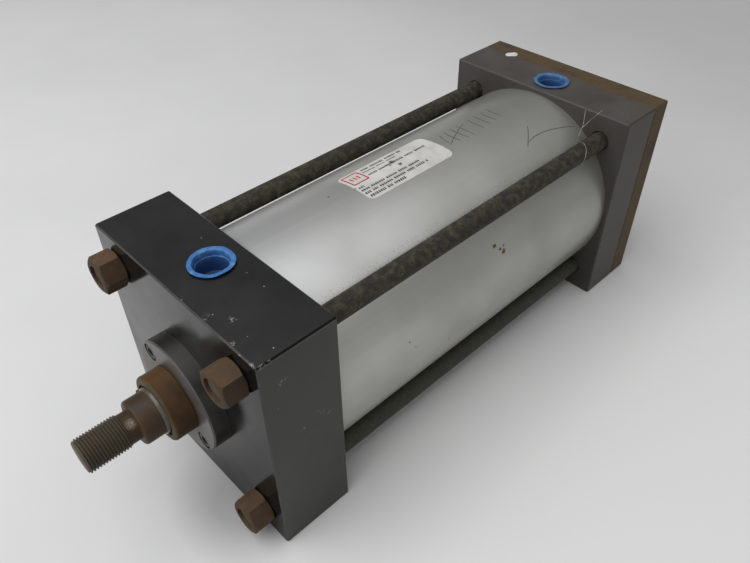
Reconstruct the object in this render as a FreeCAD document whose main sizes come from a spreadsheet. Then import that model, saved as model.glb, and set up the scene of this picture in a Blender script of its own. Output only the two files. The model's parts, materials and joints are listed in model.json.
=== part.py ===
import FreeCAD, Part
import math
import os
import Sketcher

# A tie-rod hydraulic cylinder, drawn in millimetres.
# X runs along the rod, from the back of the rear plate to the rod's thread.
# Z points up, out of the two oil ports, and Y points to the near side.

os.makedirs("parts", exist_ok=True)
doc = FreeCAD.newDocument("hydraulic_cylinder")
sheet = doc.addObject("Spreadsheet::Sheet", "sizes")

# The driving dimensions, each set by itself
driving_sizes = {
    # the blocks, the plate and the barrel
    "edge_break": 0.8,
    "plate_thick": 15.875,
    "cap_length": 31.75,
    "barrel_length": 241.3,
    "head_length": 44.45,
    "bore_dia": 127.0,
    "barrel_wall": 3.175,
    "spigot_length": 6.35,
    "spigot_seal_inset": 1.4,
    "o_ring_width": 3.6,
    "o_ring_depth": 2.3,
    "barrel_lead": 0.6,
    "corner_margin": 17.78,

    # the four tie rods and their nuts
    "tie_rod_gap": 1.0281,
    "tie_body_dia": 11.87,
    "tie_thread_dia": 12.7,
    "tie_thread_length": 26.0,
    "tie_hole_gap": 0.25,
    "tie_end_recess": 0.8,
    "nut_flats": 19.05,
    "nut_height": 12.7,
    "nut_recess": 1.5,

    # the gland with its retainer
    "retainer_dia": 66.675,
    "retainer_thick": 9.525,
    "screw_ring_radius": 27.0,
    "screw_dia": 6.35,
    "screw_head_dia": 9.5,
    "screw_head_height": 6.35,
    "screw_grip": 14.0,
    "screw_socket_flats": 4.76,
    "screw_socket_depth": 3.2,
    "screw_hole_extra": 3.0,
    "screw_head_gap": 0.5,
    "screw_head_sink": 0.2,
    "screw_passage_gap": 0.25,
    "gland_dia": 42.0,
    "gland_depth": 17.4,
    "nose_dia": 38.07,
    "nose_reach": 12.7,
    "nose_round": 1.6,
    "nose_relief": 0.4,
    "nose_relief_out": 0.3,
    "bearing_wall": 2.3,
    "bearing_length": 19.5,
    "bearing_inset": 0.5,
    "rod_seal_inset": 3.5,
    "rod_seal_width": 5.4,
    "rod_seal_wall": 3.2,
    "wiper_depth": 6.0,
    "wiper_wall": 2.4,
    "wiper_base": 5.0,
    "wiper_lip_wall": 0.8,
    "wiper_lip_out": 1.5,

    # the rod and the piston on it
    "rod_dia": 25.4,
    "rod_out": 12.7,
    "rod_round": 1.6,
    "neck_dia": 17.0,
    "neck_length": 4.6,
    "rod_thread_dia": 19.05,
    "rod_thread_length": 23.975,
    "thread_chamfer": 1.2,
    "rod_tail_out": 1.5,
    "piston_length": 25.0,
    "piston_gap": 0.3,
    "piston_lead": 0.8,
    "end_gap": 0.2,
    "piston_seal_inset": 2.5,
    "piston_seal_width": 5.0,
    "piston_seal_wall": 6.0,
    "wear_ring_width": 6.3,
    "wear_ring_wall": 2.5,
    "piston_nut_flats": 28.575,
    "piston_nut_height": 11.0,

    # the oil ports and their plugs
    "port_dia": 21.3,
    "port_depth": 20.0,
    "port_drill_dia": 15.0,
    "port_break_through": 4.0,
    "head_port_back": 25.4,
    "cap_port_in": 15.875,
    "head_cavity_dia": 36.0,
    "cap_cavity_dia": 40.0,
    "cap_cavity_depth": 30.0,
    "plug_gap": 0.3,
    "plug_flange_dia": 24.0,
    "plug_flange_thick": 1.5,
    "plug_shank_length": 13.0,
    "plug_taper": 0.6,
    "plug_wall": 1.3,
    "plug_floor": 1.5,

    # the tapped mounting holes under both blocks
    "foot_hole_dia": 15.875,
    "foot_hole_depth": 22.0,
    "foot_hole_inset": 17.94,
    "head_foot_back": 26.99,
    "cap_foot_in": 14.29,

    # clearances shared by several fits
    "fit_gap": 0.05,
    "seal_side_gap": 0.1,
    "rod_passage_gap": 0.25,
}

for row, (name, value) in enumerate(driving_sizes.items(), start=1):
    sheet.set("A%d" % row, str(value))
    sheet.setAlias("A%d" % row, name)
doc.recompute()

# Stations along the rod, each measured from the back of the rear plate
CAP_BACK = "sizes.plate_thick"
CAP_FRONT = CAP_BACK + " + sizes.cap_length"
HEAD_BACK = CAP_FRONT + " + sizes.barrel_length"
HEAD_FRONT = HEAD_BACK + " + sizes.head_length"
GLAND_BACK = HEAD_FRONT + " - sizes.gland_depth"
PISTON_BACK = CAP_FRONT + " + sizes.spigot_length + sizes.end_gap"
PISTON_FRONT = PISTON_BACK + " + sizes.piston_length"
ROD_BACK = PISTON_BACK + " - sizes.piston_nut_height - sizes.rod_tail_out"

# The flat ring on a hexagon nut's end, as a share of the width across its flats
NUT_RIM_SHARE = "0.92"

# Each tie rod's axis stands this far from the middle planes, clear of the barrel
TIE_OUT = ("((sizes.bore_dia + sizes.tie_body_dia) / 2 + sizes.barrel_wall + sizes.tie_rod_gap)"
           " / sqrt(2)")
# The square blocks reach this far past the tie rods' axes on every side
HALF_SIDE = "(" + TIE_OUT + " + sizes.corner_margin)"
TOP = HALF_SIDE
BOTTOM = "-" + HALF_SIDE

# How far a cutting profile reaches past the surface that it cuts away
OVERCUT = "1 + "

# Radii that several pieces share
ROD_R = "sizes.rod_dia / 2"
BORE_R = "sizes.bore_dia / 2"
SPIGOT_R = "sizes.bore_dia / 2 - sizes.fit_gap"
SPIGOT_GROOVE_R = SPIGOT_R + " - sizes.o_ring_depth"
GLAND_R = "sizes.gland_dia / 2"
GLAND_GROOVE_R = GLAND_R + " - sizes.o_ring_depth"
BEARING_R = ROD_R + " + sizes.fit_gap + sizes.bearing_wall"
ROD_SEAL_R = ROD_R + " + sizes.fit_gap + sizes.rod_seal_wall"
WIPER_R = ROD_R + " + sizes.fit_gap + sizes.wiper_wall"
PISTON_R = "sizes.bore_dia / 2 - sizes.piston_gap"
PISTON_SEAL_R = "sizes.bore_dia / 2 - sizes.fit_gap"
PISTON_GROOVE_R = PISTON_SEAL_R + " - sizes.piston_seal_wall - sizes.fit_gap"
WEAR_GROOVE_R = PISTON_SEAL_R + " - sizes.wear_ring_wall - sizes.fit_gap"
TAIL_R = "sizes.rod_thread_dia / 2"

near_far = (("near", 1), ("far", -1))
top_bottom = (("top", 1), ("bottom", -1))


def new_body(name, x="0", y="0", z="0"):
    body = doc.addObject("PartDesign::Body", name)
    body.Label = name
    for axis, value in (("x", x), ("y", y), ("z", z)):
        if value != "0":
            body.setExpression("Placement.Base." + axis, value)
    return body


def new_sketch(body, name, role, offset="0"):
    # a sketch on one of the body's own origin planes, moved along the plane's normal
    sketch = body.newObject("Sketcher::SketchObject", name)
    plane = [item for item in body.Origin.OriginFeatures if item.Role == role][0]
    sketch.AttachmentSupport = [(plane, "")]
    sketch.MapMode = "FlatFace"
    if offset != "0":
        sketch.setExpression("AttachmentOffset.Base.z", offset)
    return sketch


def hold_point(sketch, item, point, start, u, v):
    # ties one point of the sketch to its two named distances from the origin
    place = sketch.addConstraint(Sketcher.Constraint("DistanceX", -1, 1, item, point, start.x))
    sketch.setExpression("Constraints[%d]" % place, u)
    place = sketch.addConstraint(Sketcher.Constraint("DistanceY", -1, 1, item, point, start.y))
    sketch.setExpression("Constraints[%d]" % place, v)


def draw_outline(sketch, corners):
    # a closed outline through the corners: it begins as a ring, and its distances pull it to size
    count = len(corners)
    ring = []
    for number in range(count):
        turn = 2 * math.pi * number / count
        ring.append(FreeCAD.Vector(20 + 10 * math.cos(turn), 20 + 10 * math.sin(turn), 0))
    for number in range(count):
        sketch.addGeometry(Part.LineSegment(ring[number], ring[(number + 1) % count]), False)
    for number in range(count):
        sketch.addConstraint(Sketcher.Constraint("Coincident", number, 2, (number + 1) % count, 1))
    for number, (u, v) in enumerate(corners):
        hold_point(sketch, number, 1, ring[number], u, v)


def draw_circle(sketch, u, v, radius):
    start = FreeCAD.Vector(5, 5, 0)
    item = sketch.addGeometry(Part.Circle(start, FreeCAD.Vector(0, 0, 1), 3), False)
    hold_point(sketch, item, 3, start, u, v)
    place = sketch.addConstraint(Sketcher.Constraint("Radius", item, 3))
    sketch.setExpression("Constraints[%d]" % place, radius)


def turn_profile(body, name, sketch, kind, axis="H_Axis"):
    feature = body.newObject(kind, name)
    feature.Profile = sketch
    feature.ReferenceAxis = (sketch, [axis])
    feature.Angle = 360
    body.Tip = feature
    return feature


def turned(body, name, corners, axis="H_Axis"):
    # a solid turned from corners given as distance along the axis and radius
    sketch = new_sketch(body, name + "_outline", "XZ_Plane")
    draw_outline(sketch, corners)
    return turn_profile(body, name, sketch, "PartDesign::Revolution", axis)


def turned_cut(body, name, corners):
    sketch = new_sketch(body, name + "_outline", "XZ_Plane")
    draw_outline(sketch, corners)
    return turn_profile(body, name, sketch, "PartDesign::Groove")


def padded(body, name, sketch, length, reverse=False):
    feature = body.newObject("PartDesign::Pad", name)
    feature.Profile = sketch
    feature.setExpression("Length", length)
    feature.Reversed = reverse
    body.Tip = feature
    return feature


def drilled(body, name, role, offset, circles, depth, reverse=False):
    # round holes that start on a plane and go straight down to one depth
    sketch = new_sketch(body, name + "_circles", role, offset)
    for u, v, radius in circles:
        draw_circle(sketch, u, v, radius)
    feature = body.newObject("PartDesign::Pocket", name)
    feature.Profile = sketch
    feature.setExpression("Length", depth)
    feature.Reversed = reverse
    body.Tip = feature
    return feature


def tie_places():
    # the four corners where tie rods run, with their side names
    places = []
    for side, y_sign in near_far:
        for level, z_sign in top_bottom:
            y = "%d * " % y_sign + TIE_OUT
            z = "%d * " % z_sign + TIE_OUT
            places.append((side + "_" + level, y, z))
    return places


def square_block(body, length):
    # the square slab that the plate and both end blocks begin with, its edges broken
    half = HALF_SIDE
    sketch = new_sketch(body, body.Name + "_square", "YZ_Plane")
    draw_outline(sketch, [("-" + half, "-" + half), (half, "-" + half), (half, half), ("-" + half, half)])
    slab = padded(body, body.Name + "_slab", sketch, length)
    doc.recompute()
    broken = body.newObject("PartDesign::Chamfer", body.Name + "_broken_edges")
    broken.Base = (slab, ["Edge%d" % (number + 1) for number in range(len(slab.Shape.Edges))])
    broken.setExpression("Size", "sizes.edge_break")
    body.Tip = broken
    return broken


def tie_holes(body, radius, length):
    circles = [(y, z, radius) for label, y, z in tie_places()]
    drilled(body, body.Name + "_tie_holes", "YZ_Plane", length, circles, length)


def spigot(body, start, reverse):
    # the round step that enters the barrel, with the groove of its seal
    sketch = new_sketch(body, body.Name + "_spigot_circle", "YZ_Plane", start)
    draw_circle(sketch, "0", "0", SPIGOT_R)
    padded(body, body.Name + "_spigot", sketch, "sizes.spigot_length", reverse)
    if reverse:
        groove_start = start + " - sizes.spigot_seal_inset - sizes.o_ring_width"
    else:
        groove_start = start + " + sizes.spigot_seal_inset"
    groove_end = groove_start + " + sizes.o_ring_width"
    outside = OVERCUT + BORE_R
    turned_cut(body, body.Name + "_seal_groove", [
        (groove_start, SPIGOT_GROOVE_R),
        (groove_end, SPIGOT_GROOVE_R),
        (groove_end, outside),
        (groove_start, outside),
    ])


def port(body, x, cavity_radius):
    # the threaded mouth on the top face and the drilling that leads on into the cavity
    name = body.Name
    drilled(body, name + "_port", "XY_Plane", TOP, [(x, "0", "sizes.port_dia / 2")], "sizes.port_depth")
    reach = TOP + " - (" + cavity_radius + " - sizes.port_break_through)"
    drilled(body, name + "_port_drill", "XY_Plane", TOP, [(x, "0", "sizes.port_drill_dia / 2")], reach)


def foot_holes(body, x):
    # the pair of tapped mounting holes in the bottom face
    half = "(" + TIE_OUT + " - sizes.foot_hole_inset)"
    radius = "sizes.foot_hole_dia / 2"
    circles = [(x, half, radius), (x, "-" + half, radius)]
    name = body.Name + "_foot_holes"
    drilled(body, name, "XY_Plane", BOTTOM, circles, "sizes.foot_hole_depth", True)


def rear_plate():
    body = new_body("rear_plate")
    square_block(body, "sizes.plate_thick")
    tie_holes(body, "sizes.tie_thread_dia / 2 + sizes.fit_gap", "sizes.plate_thick")


def cap_end_block():
    body = new_body("cap_end_block", CAP_BACK)
    length = "sizes.cap_length"
    square_block(body, length)
    spigot(body, length, False)
    tie_holes(body, "sizes.tie_thread_dia / 2 + sizes.tie_hole_gap", length)
    face = length + " + sizes.spigot_length"
    cavity = [("0", "0", "sizes.cap_cavity_dia / 2")]
    drilled(body, "cap_cavity", "YZ_Plane", face, cavity, "sizes.cap_cavity_depth")
    port(body, "sizes.cap_port_in", "sizes.cap_cavity_dia / 2")
    foot_holes(body, "sizes.cap_foot_in")


def screw_places():
    # the two retainer screws stand opposite each other on a slant
    offset = "sizes.screw_ring_radius * cos(45 deg)"
    return (("upper", "-" + offset, offset), ("lower", offset, "-" + offset))


def rod_end_block():
    body = new_body("rod_end_block", HEAD_BACK)
    length = "sizes.head_length"
    square_block(body, length)
    spigot(body, "0", True)
    tie_holes(body, "sizes.tie_thread_dia / 2 + sizes.tie_hole_gap", length)
    back = "-sizes.spigot_length"
    shoulder = length + " - sizes.gland_depth"
    turned_cut(body, "gland_seat", [
        (back, "0"),
        (back, "sizes.head_cavity_dia / 2"),
        (shoulder, "sizes.head_cavity_dia / 2"),
        (shoulder, GLAND_R + " + sizes.fit_gap"),
        (length, GLAND_R + " + sizes.fit_gap"),
        (length, "0"),
    ])
    port(body, length + " - sizes.head_port_back", "sizes.head_cavity_dia / 2")
    foot_holes(body, length + " - sizes.head_foot_back")
    radius = "sizes.screw_dia / 2 + sizes.fit_gap"
    circles = [(y, z, radius) for label, y, z in screw_places()]
    drilled(body, "screw_taps", "YZ_Plane", length, circles, "sizes.screw_grip + sizes.screw_hole_extra")


def barrel_tube():
    body = new_body("barrel_tube", CAP_FRONT)
    outer = BORE_R + " + sizes.barrel_wall"
    length = "sizes.barrel_length"
    turned(body, "tube_wall", [
        ("sizes.barrel_lead", BORE_R),
        (length + " - sizes.barrel_lead", BORE_R),
        (length, BORE_R + " + sizes.barrel_lead"),
        (length, outer),
        ("0", outer),
        ("0", BORE_R + " + sizes.barrel_lead"),
    ])


def o_ring(name, x, inner, outer):
    # a round-section ring that fills a groove between two radii, seated in its middle
    body = new_body(name, x + " + sizes.o_ring_width / 2")
    sketch = new_sketch(body, name + "_section", "XZ_Plane")
    middle = "((" + inner + ") + (" + outer + ")) / 2"
    thick = "((" + outer + ") - (" + inner + ")) / 2 - sizes.fit_gap / 2"
    draw_circle(sketch, "0", middle, thick)
    turn_profile(body, name + "_turn", sketch, "PartDesign::Revolution")


def barrel_seals():
    rear = CAP_FRONT + " + sizes.spigot_seal_inset"
    front = HEAD_BACK + " - sizes.spigot_seal_inset - sizes.o_ring_width"
    o_ring("barrel_seal_rear", rear, SPIGOT_GROOVE_R, BORE_R)
    o_ring("barrel_seal_front", front, SPIGOT_GROOVE_R, BORE_R)


def tie_rod(label, y, z):
    # rolled threads stand a little proud of the plain middle of the rod
    body = new_body("tie_rod_" + label, "sizes.tie_end_recess", y, z)
    length = HEAD_FRONT + " + sizes.nut_height - sizes.nut_recess - sizes.tie_end_recess"
    thread = "sizes.tie_thread_dia / 2"
    plain = "sizes.tie_body_dia / 2"
    step = thread + " - " + plain
    rear_end = "sizes.tie_thread_length"
    front_start = length + " - sizes.tie_thread_length"
    turned(body, "tie_rod_turn_" + label, [
        ("0", "0"),
        ("0", thread + " - sizes.edge_break"),
        ("sizes.edge_break", thread),
        (rear_end, thread),
        (rear_end + " + " + step, plain),
        (front_start + " - (" + step + ")", plain),
        (front_start, thread),
        (length + " - sizes.edge_break", thread),
        (length, thread + " - sizes.edge_break"),
        (length, "0"),
    ])


def hexagon(flats):
    # the corners of a hexagon, given across its flats
    corner = flats + " / sqrt(3)"
    half_corner = flats + " / sqrt(12)"
    half_flat = flats + " / 2"
    return [
        (corner, "0"),
        (half_corner, half_flat),
        ("-" + half_corner, half_flat),
        ("-" + corner, "0"),
        ("-" + half_corner, "-" + half_flat),
        (half_corner, "-" + half_flat),
    ]


def hex_nut(name, x, y, z, angle, flats, height, hole_dia):
    # a hexagon with a round hole, its corners turned off at both ends
    body = new_body(name, x, y, z)
    spin = FreeCAD.Rotation(FreeCAD.Vector(1, 0, 0), angle)
    body.Placement = FreeCAD.Placement(FreeCAD.Vector(0, 0, 0), spin)
    corner = flats + " / sqrt(3)"
    sketch = new_sketch(body, name + "_hexagon", "YZ_Plane")
    draw_outline(sketch, hexagon(flats))
    padded(body, name + "_prism", sketch, height)
    # the chamfer begins well inside the flats and falls at 30 degrees past the corners
    rim = flats + " / 2 * " + NUT_RIM_SHARE
    outside = OVERCUT + corner
    fall = "(" + outside + " - " + rim + ") * tan(30 deg)"
    turned_cut(body, name + "_front_chamfer", [
        (height, rim),
        (height, outside),
        (height + " - " + fall, outside),
    ])
    turned_cut(body, name + "_back_chamfer", [
        ("0", rim),
        (fall, outside),
        ("0", outside),
    ])
    hole = [("0", "0", hole_dia + " / 2 + sizes.fit_gap")]
    drilled(body, name + "_hole", "YZ_Plane", height, hole, height)


def tie_rods_and_nuts():
    # each nut stopped at its own angle, as read off the photo
    angles = {"near_top": 43, "far_top": 0, "near_bottom": 6, "far_bottom": 30}
    for label, y, z in tie_places():
        tie_rod(label, y, z)
        name = "tie_rod_nut_" + label
        hex_nut(name, HEAD_FRONT, y, z, angles[label],
                "sizes.nut_flats", "sizes.nut_height", "sizes.tie_thread_dia")


def retainer_plate():
    body = new_body("retainer_plate", HEAD_FRONT)
    thick = "sizes.retainer_thick"
    outer = "sizes.retainer_dia / 2"
    inner = "sizes.nose_dia / 2 + sizes.fit_gap"
    turned(body, "retainer_disc", [
        ("0", inner),
        (thick, inner),
        (thick, outer + " - sizes.edge_break"),
        (thick + " - sizes.edge_break", outer),
        ("0", outer),
    ])
    head_radius = "sizes.screw_head_dia / 2 + sizes.screw_head_gap"
    shank_radius = "sizes.screw_dia / 2 + sizes.screw_passage_gap"
    heads = [(y, z, head_radius) for label, y, z in screw_places()]
    shanks = [(y, z, shank_radius) for label, y, z in screw_places()]
    counterbore = "sizes.screw_head_height + sizes.screw_head_sink"
    drilled(body, "screw_counterbores", "YZ_Plane", thick, heads, counterbore)
    drilled(body, "screw_passages", "YZ_Plane", thick, shanks, thick)


def retainer_screw(label, y, z):
    # a cap screw whose head sits on the floor of the counterbore
    floor = "sizes.retainer_thick - sizes.screw_head_height - sizes.screw_head_sink"
    body = new_body("retainer_screw_" + label, HEAD_FRONT + " + " + floor, y, z)
    shank_end = "-(sizes.screw_grip + " + floor + ")"
    shank = "sizes.screw_dia / 2"
    head = "sizes.screw_head_dia / 2"
    height = "sizes.screw_head_height"
    turned(body, "screw_turn_" + label, [
        (shank_end, "0"),
        (shank_end, shank + " - sizes.edge_break / 2"),
        (shank_end + " + sizes.edge_break / 2", shank),
        ("0", shank),
        ("0", head),
        (height + " - sizes.edge_break / 2", head),
        (height, head + " - sizes.edge_break / 2"),
        (height, "0"),
    ])
    sketch = new_sketch(body, "screw_socket_outline_" + label, "YZ_Plane", height)
    draw_outline(sketch, hexagon("sizes.screw_socket_flats"))
    socket = body.newObject("PartDesign::Pocket", "screw_socket_" + label)
    socket.Profile = sketch
    socket.setExpression("Length", "sizes.screw_socket_depth")
    body.Tip = socket


def circles_at_end(shape, radius):
    # the names of the round edges of one radius on the end face furthest along X
    names = []
    for number, edge in enumerate(shape.Edges):
        is_circle = hasattr(edge.Curve, "Radius")
        if is_circle and abs(edge.Curve.Radius - radius) < 0.01:
            if abs(edge.BoundBox.XMin - shape.BoundBox.XMax) < 0.01:
                names.append("Edge%d" % (number + 1))
    return names


def gland_body():
    # the cartridge that carries the rod, its nose standing out through the retainer
    body = new_body("gland_body", GLAND_BACK)
    passage = ROD_R + " + sizes.rod_passage_gap"
    bearing_seat = "sizes.bearing_inset + sizes.bearing_length"
    seal_start = bearing_seat + " + sizes.rod_seal_inset"
    seal_end = seal_start + " + sizes.rod_seal_width"
    front = "sizes.gland_depth + sizes.retainer_thick + sizes.nose_reach"
    wiper_seat = front + " - sizes.wiper_depth"
    nose = "sizes.nose_dia / 2"
    shoulder = "sizes.gland_depth"
    relief_end = "sizes.gland_depth + sizes.retainer_thick + sizes.nose_relief_out"
    groove_start = "sizes.gland_depth / 2 - sizes.o_ring_width / 2"
    groove_end = "sizes.gland_depth / 2 + sizes.o_ring_width / 2"
    turned(body, "gland_turn", [
        ("0", BEARING_R + " + sizes.fit_gap"),
        (bearing_seat, BEARING_R + " + sizes.fit_gap"),
        (bearing_seat, passage),
        (seal_start, passage),
        (seal_start, ROD_SEAL_R + " + sizes.fit_gap"),
        (seal_end, ROD_SEAL_R + " + sizes.fit_gap"),
        (seal_end, passage),
        (wiper_seat, passage),
        (wiper_seat, WIPER_R + " + sizes.fit_gap"),
        (front, WIPER_R + " + sizes.fit_gap"),
        (front, nose),
        (relief_end, nose),
        (relief_end, nose + " - sizes.nose_relief"),
        (shoulder, nose + " - sizes.nose_relief"),
        (shoulder, GLAND_R),
        (groove_end, GLAND_R),
        (groove_end, GLAND_GROOVE_R),
        (groove_start, GLAND_GROOVE_R),
        (groove_start, GLAND_R),
        ("0", GLAND_R),
    ])
    doc.recompute()
    turn = body.Tip
    rounded = body.newObject("PartDesign::Fillet", "nose_rounding")
    rounded.Base = (turn, circles_at_end(turn.Shape, sheet.nose_dia / 2))
    rounded.setExpression("Radius", "sizes.nose_round")
    body.Tip = rounded


def gland_o_ring():
    start = GLAND_BACK + " + sizes.gland_depth / 2 - sizes.o_ring_width / 2"
    o_ring("gland_o_ring", start, GLAND_GROOVE_R, GLAND_R + " + sizes.fit_gap")


def gland_bearing():
    body = new_body("gland_bearing", GLAND_BACK + " + sizes.bearing_inset")
    inner = ROD_R + " + sizes.fit_gap"
    length = "sizes.bearing_length"
    lead = "sizes.edge_break / 2"
    turned(body, "bearing_turn", [
        (lead, inner),
        (length + " - " + lead, inner),
        (length, inner + " + " + lead),
        (length, BEARING_R),
        (lead, BEARING_R),
        ("0", BEARING_R + " - " + lead),
        ("0", inner + " + " + lead),
    ])


def lip_seal(name, x, inner, outer, width, opens_back):
    # a ring whose notch, turned to the oil's side, is nearly half as deep as the ring is wide
    body = new_body(name, x)
    middle = "((" + inner + ") + (" + outer + ")) / 2"
    lip = "((" + outer + ") - (" + inner + ")) / 4"
    notch = width + " * 0.45"
    if opens_back:
        corners = [
            ("0", inner),
            ("0", inner + " + " + lip),
            (notch, middle),
            ("0", outer + " - " + lip),
            ("0", outer),
            (width, outer),
            (width, inner),
        ]
    else:
        corners = [
            ("0", inner),
            ("0", outer),
            (width, outer),
            (width, outer + " - " + lip),
            (width + " - " + notch, middle),
            (width, inner + " + " + lip),
            (width, inner),
        ]
    turned(body, name + "_turn", corners)


def rod_seal():
    start = GLAND_BACK + " + sizes.bearing_inset + sizes.bearing_length + sizes.rod_seal_inset"
    inner = ROD_R + " + sizes.fit_gap"
    width = "(sizes.rod_seal_width - 2 * sizes.seal_side_gap)"
    lip_seal("rod_seal", start + " + sizes.seal_side_gap", inner, ROD_SEAL_R, width, True)


def rod_wiper():
    # a base ring in the nose and a thin lip that stands out along the rod
    front = HEAD_FRONT + " + sizes.retainer_thick + sizes.nose_reach"
    body = new_body("rod_wiper", front + " - sizes.wiper_depth")
    inner = ROD_R + " + sizes.fit_gap"
    lip = inner + " + sizes.wiper_lip_wall"
    tip = "sizes.wiper_depth + sizes.wiper_lip_out"
    turned(body, "wiper_turn", [
        ("0", inner + " + sizes.wiper_lip_wall / 2"),
        ("0", WIPER_R),
        ("sizes.wiper_base", WIPER_R),
        ("sizes.wiper_base", lip + " + sizes.wiper_lip_wall / 2"),
        (tip + " - sizes.wiper_lip_wall / 2", lip),
        (tip, lip + " - sizes.wiper_lip_wall / 2"),
        (tip, inner),
        (tip + " - sizes.wiper_lip_out", inner),
    ])


def piston_rod():
    # tail through the piston and its nut, plain rod, neck and the outer thread
    body = new_body("piston_rod", ROD_BACK)
    tail = "sizes.rod_tail_out + sizes.piston_nut_height + sizes.piston_length"
    main = ("sizes.barrel_length + sizes.head_length + sizes.retainer_thick + sizes.nose_reach"
            " + sizes.rod_out - sizes.spigot_length - sizes.end_gap - sizes.piston_length")
    shoulder = tail + " + " + main
    neck_end = shoulder + " + sizes.neck_length"
    tip = neck_end + " + sizes.rod_thread_length"
    neck = "sizes.neck_dia / 2"
    step = TAIL_R + " - " + neck
    turned(body, "rod_turn", [
        ("0", "0"),
        ("0", TAIL_R + " - sizes.edge_break"),
        ("sizes.edge_break", TAIL_R),
        (tail, TAIL_R),
        (tail, ROD_R),
        (shoulder + " - sizes.rod_round", ROD_R),
        (shoulder + " - sizes.rod_round * 0.3", ROD_R + " - sizes.rod_round * 0.3"),
        (shoulder, ROD_R + " - sizes.rod_round"),
        (shoulder, neck),
        (neck_end, neck),
        (neck_end + " + " + step, TAIL_R),
        (tip + " - sizes.thread_chamfer", TAIL_R),
        (tip, TAIL_R + " - sizes.thread_chamfer"),
        (tip, "0"),
    ])


def piston():
    body = new_body("piston", PISTON_BACK)
    length = "sizes.piston_length"
    hole = TAIL_R + " + sizes.fit_gap"
    lead = "sizes.piston_lead"
    rear_start = "sizes.piston_seal_inset"
    rear_end = rear_start + " + sizes.piston_seal_width"
    wear_start = "sizes.piston_length / 2 - sizes.wear_ring_width / 2"
    wear_end = "sizes.piston_length / 2 + sizes.wear_ring_width / 2"
    front_end = length + " - sizes.piston_seal_inset"
    front_start = front_end + " - sizes.piston_seal_width"
    turned(body, "piston_turn", [
        ("0", hole),
        (length, hole),
        (length, PISTON_R + " - " + lead),
        (length + " - " + lead, PISTON_R),
        (front_end, PISTON_R),
        (front_end, PISTON_GROOVE_R),
        (front_start, PISTON_GROOVE_R),
        (front_start, PISTON_R),
        (wear_end, PISTON_R),
        (wear_end, WEAR_GROOVE_R),
        (wear_start, WEAR_GROOVE_R),
        (wear_start, PISTON_R),
        (rear_end, PISTON_R),
        (rear_end, PISTON_GROOVE_R),
        (rear_start, PISTON_GROOVE_R),
        (rear_start, PISTON_R),
        (lead, PISTON_R),
        ("0", PISTON_R + " - " + lead),
    ])
    groove_back = "sizes.piston_length / 2 - sizes.o_ring_width / 2"
    groove_front = "sizes.piston_length / 2 + sizes.o_ring_width / 2"
    deep = hole + " + sizes.o_ring_depth"
    turned_cut(body, "piston_inner_groove", [
        (groove_back, "sizes.rod_thread_dia / 4"),
        (groove_back, deep),
        (groove_front, deep),
        (groove_front, "sizes.rod_thread_dia / 4"),
    ])


def piston_rings():
    inner = PISTON_SEAL_R + " - sizes.piston_seal_wall"
    width = "(sizes.piston_seal_width - 2 * sizes.seal_side_gap)"
    rear = PISTON_BACK + " + sizes.piston_seal_inset + sizes.seal_side_gap"
    lip_seal("piston_seal_rear", rear, inner, PISTON_SEAL_R, width, True)
    front = (PISTON_FRONT + " - sizes.piston_seal_inset - sizes.piston_seal_width"
             " + sizes.seal_side_gap")
    lip_seal("piston_seal_front", front, inner, PISTON_SEAL_R, width, False)
    body = new_body("piston_wear_ring", PISTON_BACK + " + sizes.piston_length / 2")
    half = "(sizes.wear_ring_width / 2 - sizes.seal_side_gap)"
    turned(body, "wear_ring_turn", [
        ("-" + half, PISTON_SEAL_R + " - sizes.wear_ring_wall"),
        (half, PISTON_SEAL_R + " - sizes.wear_ring_wall"),
        (half, PISTON_SEAL_R),
        ("-" + half, PISTON_SEAL_R),
    ])
    groove = PISTON_BACK + " + sizes.piston_length / 2 - sizes.o_ring_width / 2"
    o_ring("piston_o_ring", groove, TAIL_R, TAIL_R + " + sizes.fit_gap + sizes.o_ring_depth")


def piston_nut():
    start = PISTON_BACK + " - sizes.piston_nut_height"
    hex_nut("piston_nut", start, "0", "0", 0,
            "sizes.piston_nut_flats", "sizes.piston_nut_height", "sizes.rod_thread_dia")


def port_plug(name, x):
    # a thin moulded cup with a flange that rests on the block's top face
    body = new_body(name, x, "0", TOP)
    mouth = "sizes.port_dia / 2 - sizes.plug_gap"
    foot = mouth + " - sizes.plug_taper"
    down = "-sizes.plug_shank_length"
    rim = "sizes.plug_flange_thick"
    turned(body, name + "_turn", [
        ("0", down),
        (foot + " - sizes.plug_wall / 2", down),
        (foot, down + " + sizes.plug_wall / 2"),
        (mouth, "0"),
        ("sizes.plug_flange_dia / 2", "0"),
        ("sizes.plug_flange_dia / 2", rim),
        (mouth + " - sizes.plug_wall", rim),
        (foot + " - sizes.plug_wall", down + " + sizes.plug_floor"),
        ("0", down + " + sizes.plug_floor"),
    ], "V_Axis")


rear_plate()
cap_end_block()
rod_end_block()
barrel_tube()
barrel_seals()
tie_rods_and_nuts()
retainer_plate()
for screw_label, screw_y, screw_z in screw_places():
    retainer_screw(screw_label, screw_y, screw_z)
gland_body()
gland_o_ring()
gland_bearing()
rod_seal()
rod_wiper()
piston_rod()
piston()
piston_rings()
piston_nut()
port_plug("port_plug_front", HEAD_FRONT + " - sizes.head_port_back")
port_plug("port_plug_rear", CAP_BACK + " + sizes.cap_port_in")
doc.recompute()

for item in doc.Objects:
    if "Invalid" in item.State or "Error" in item.State:
        raise RuntimeError("did not rebuild: " + item.Name)

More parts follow.
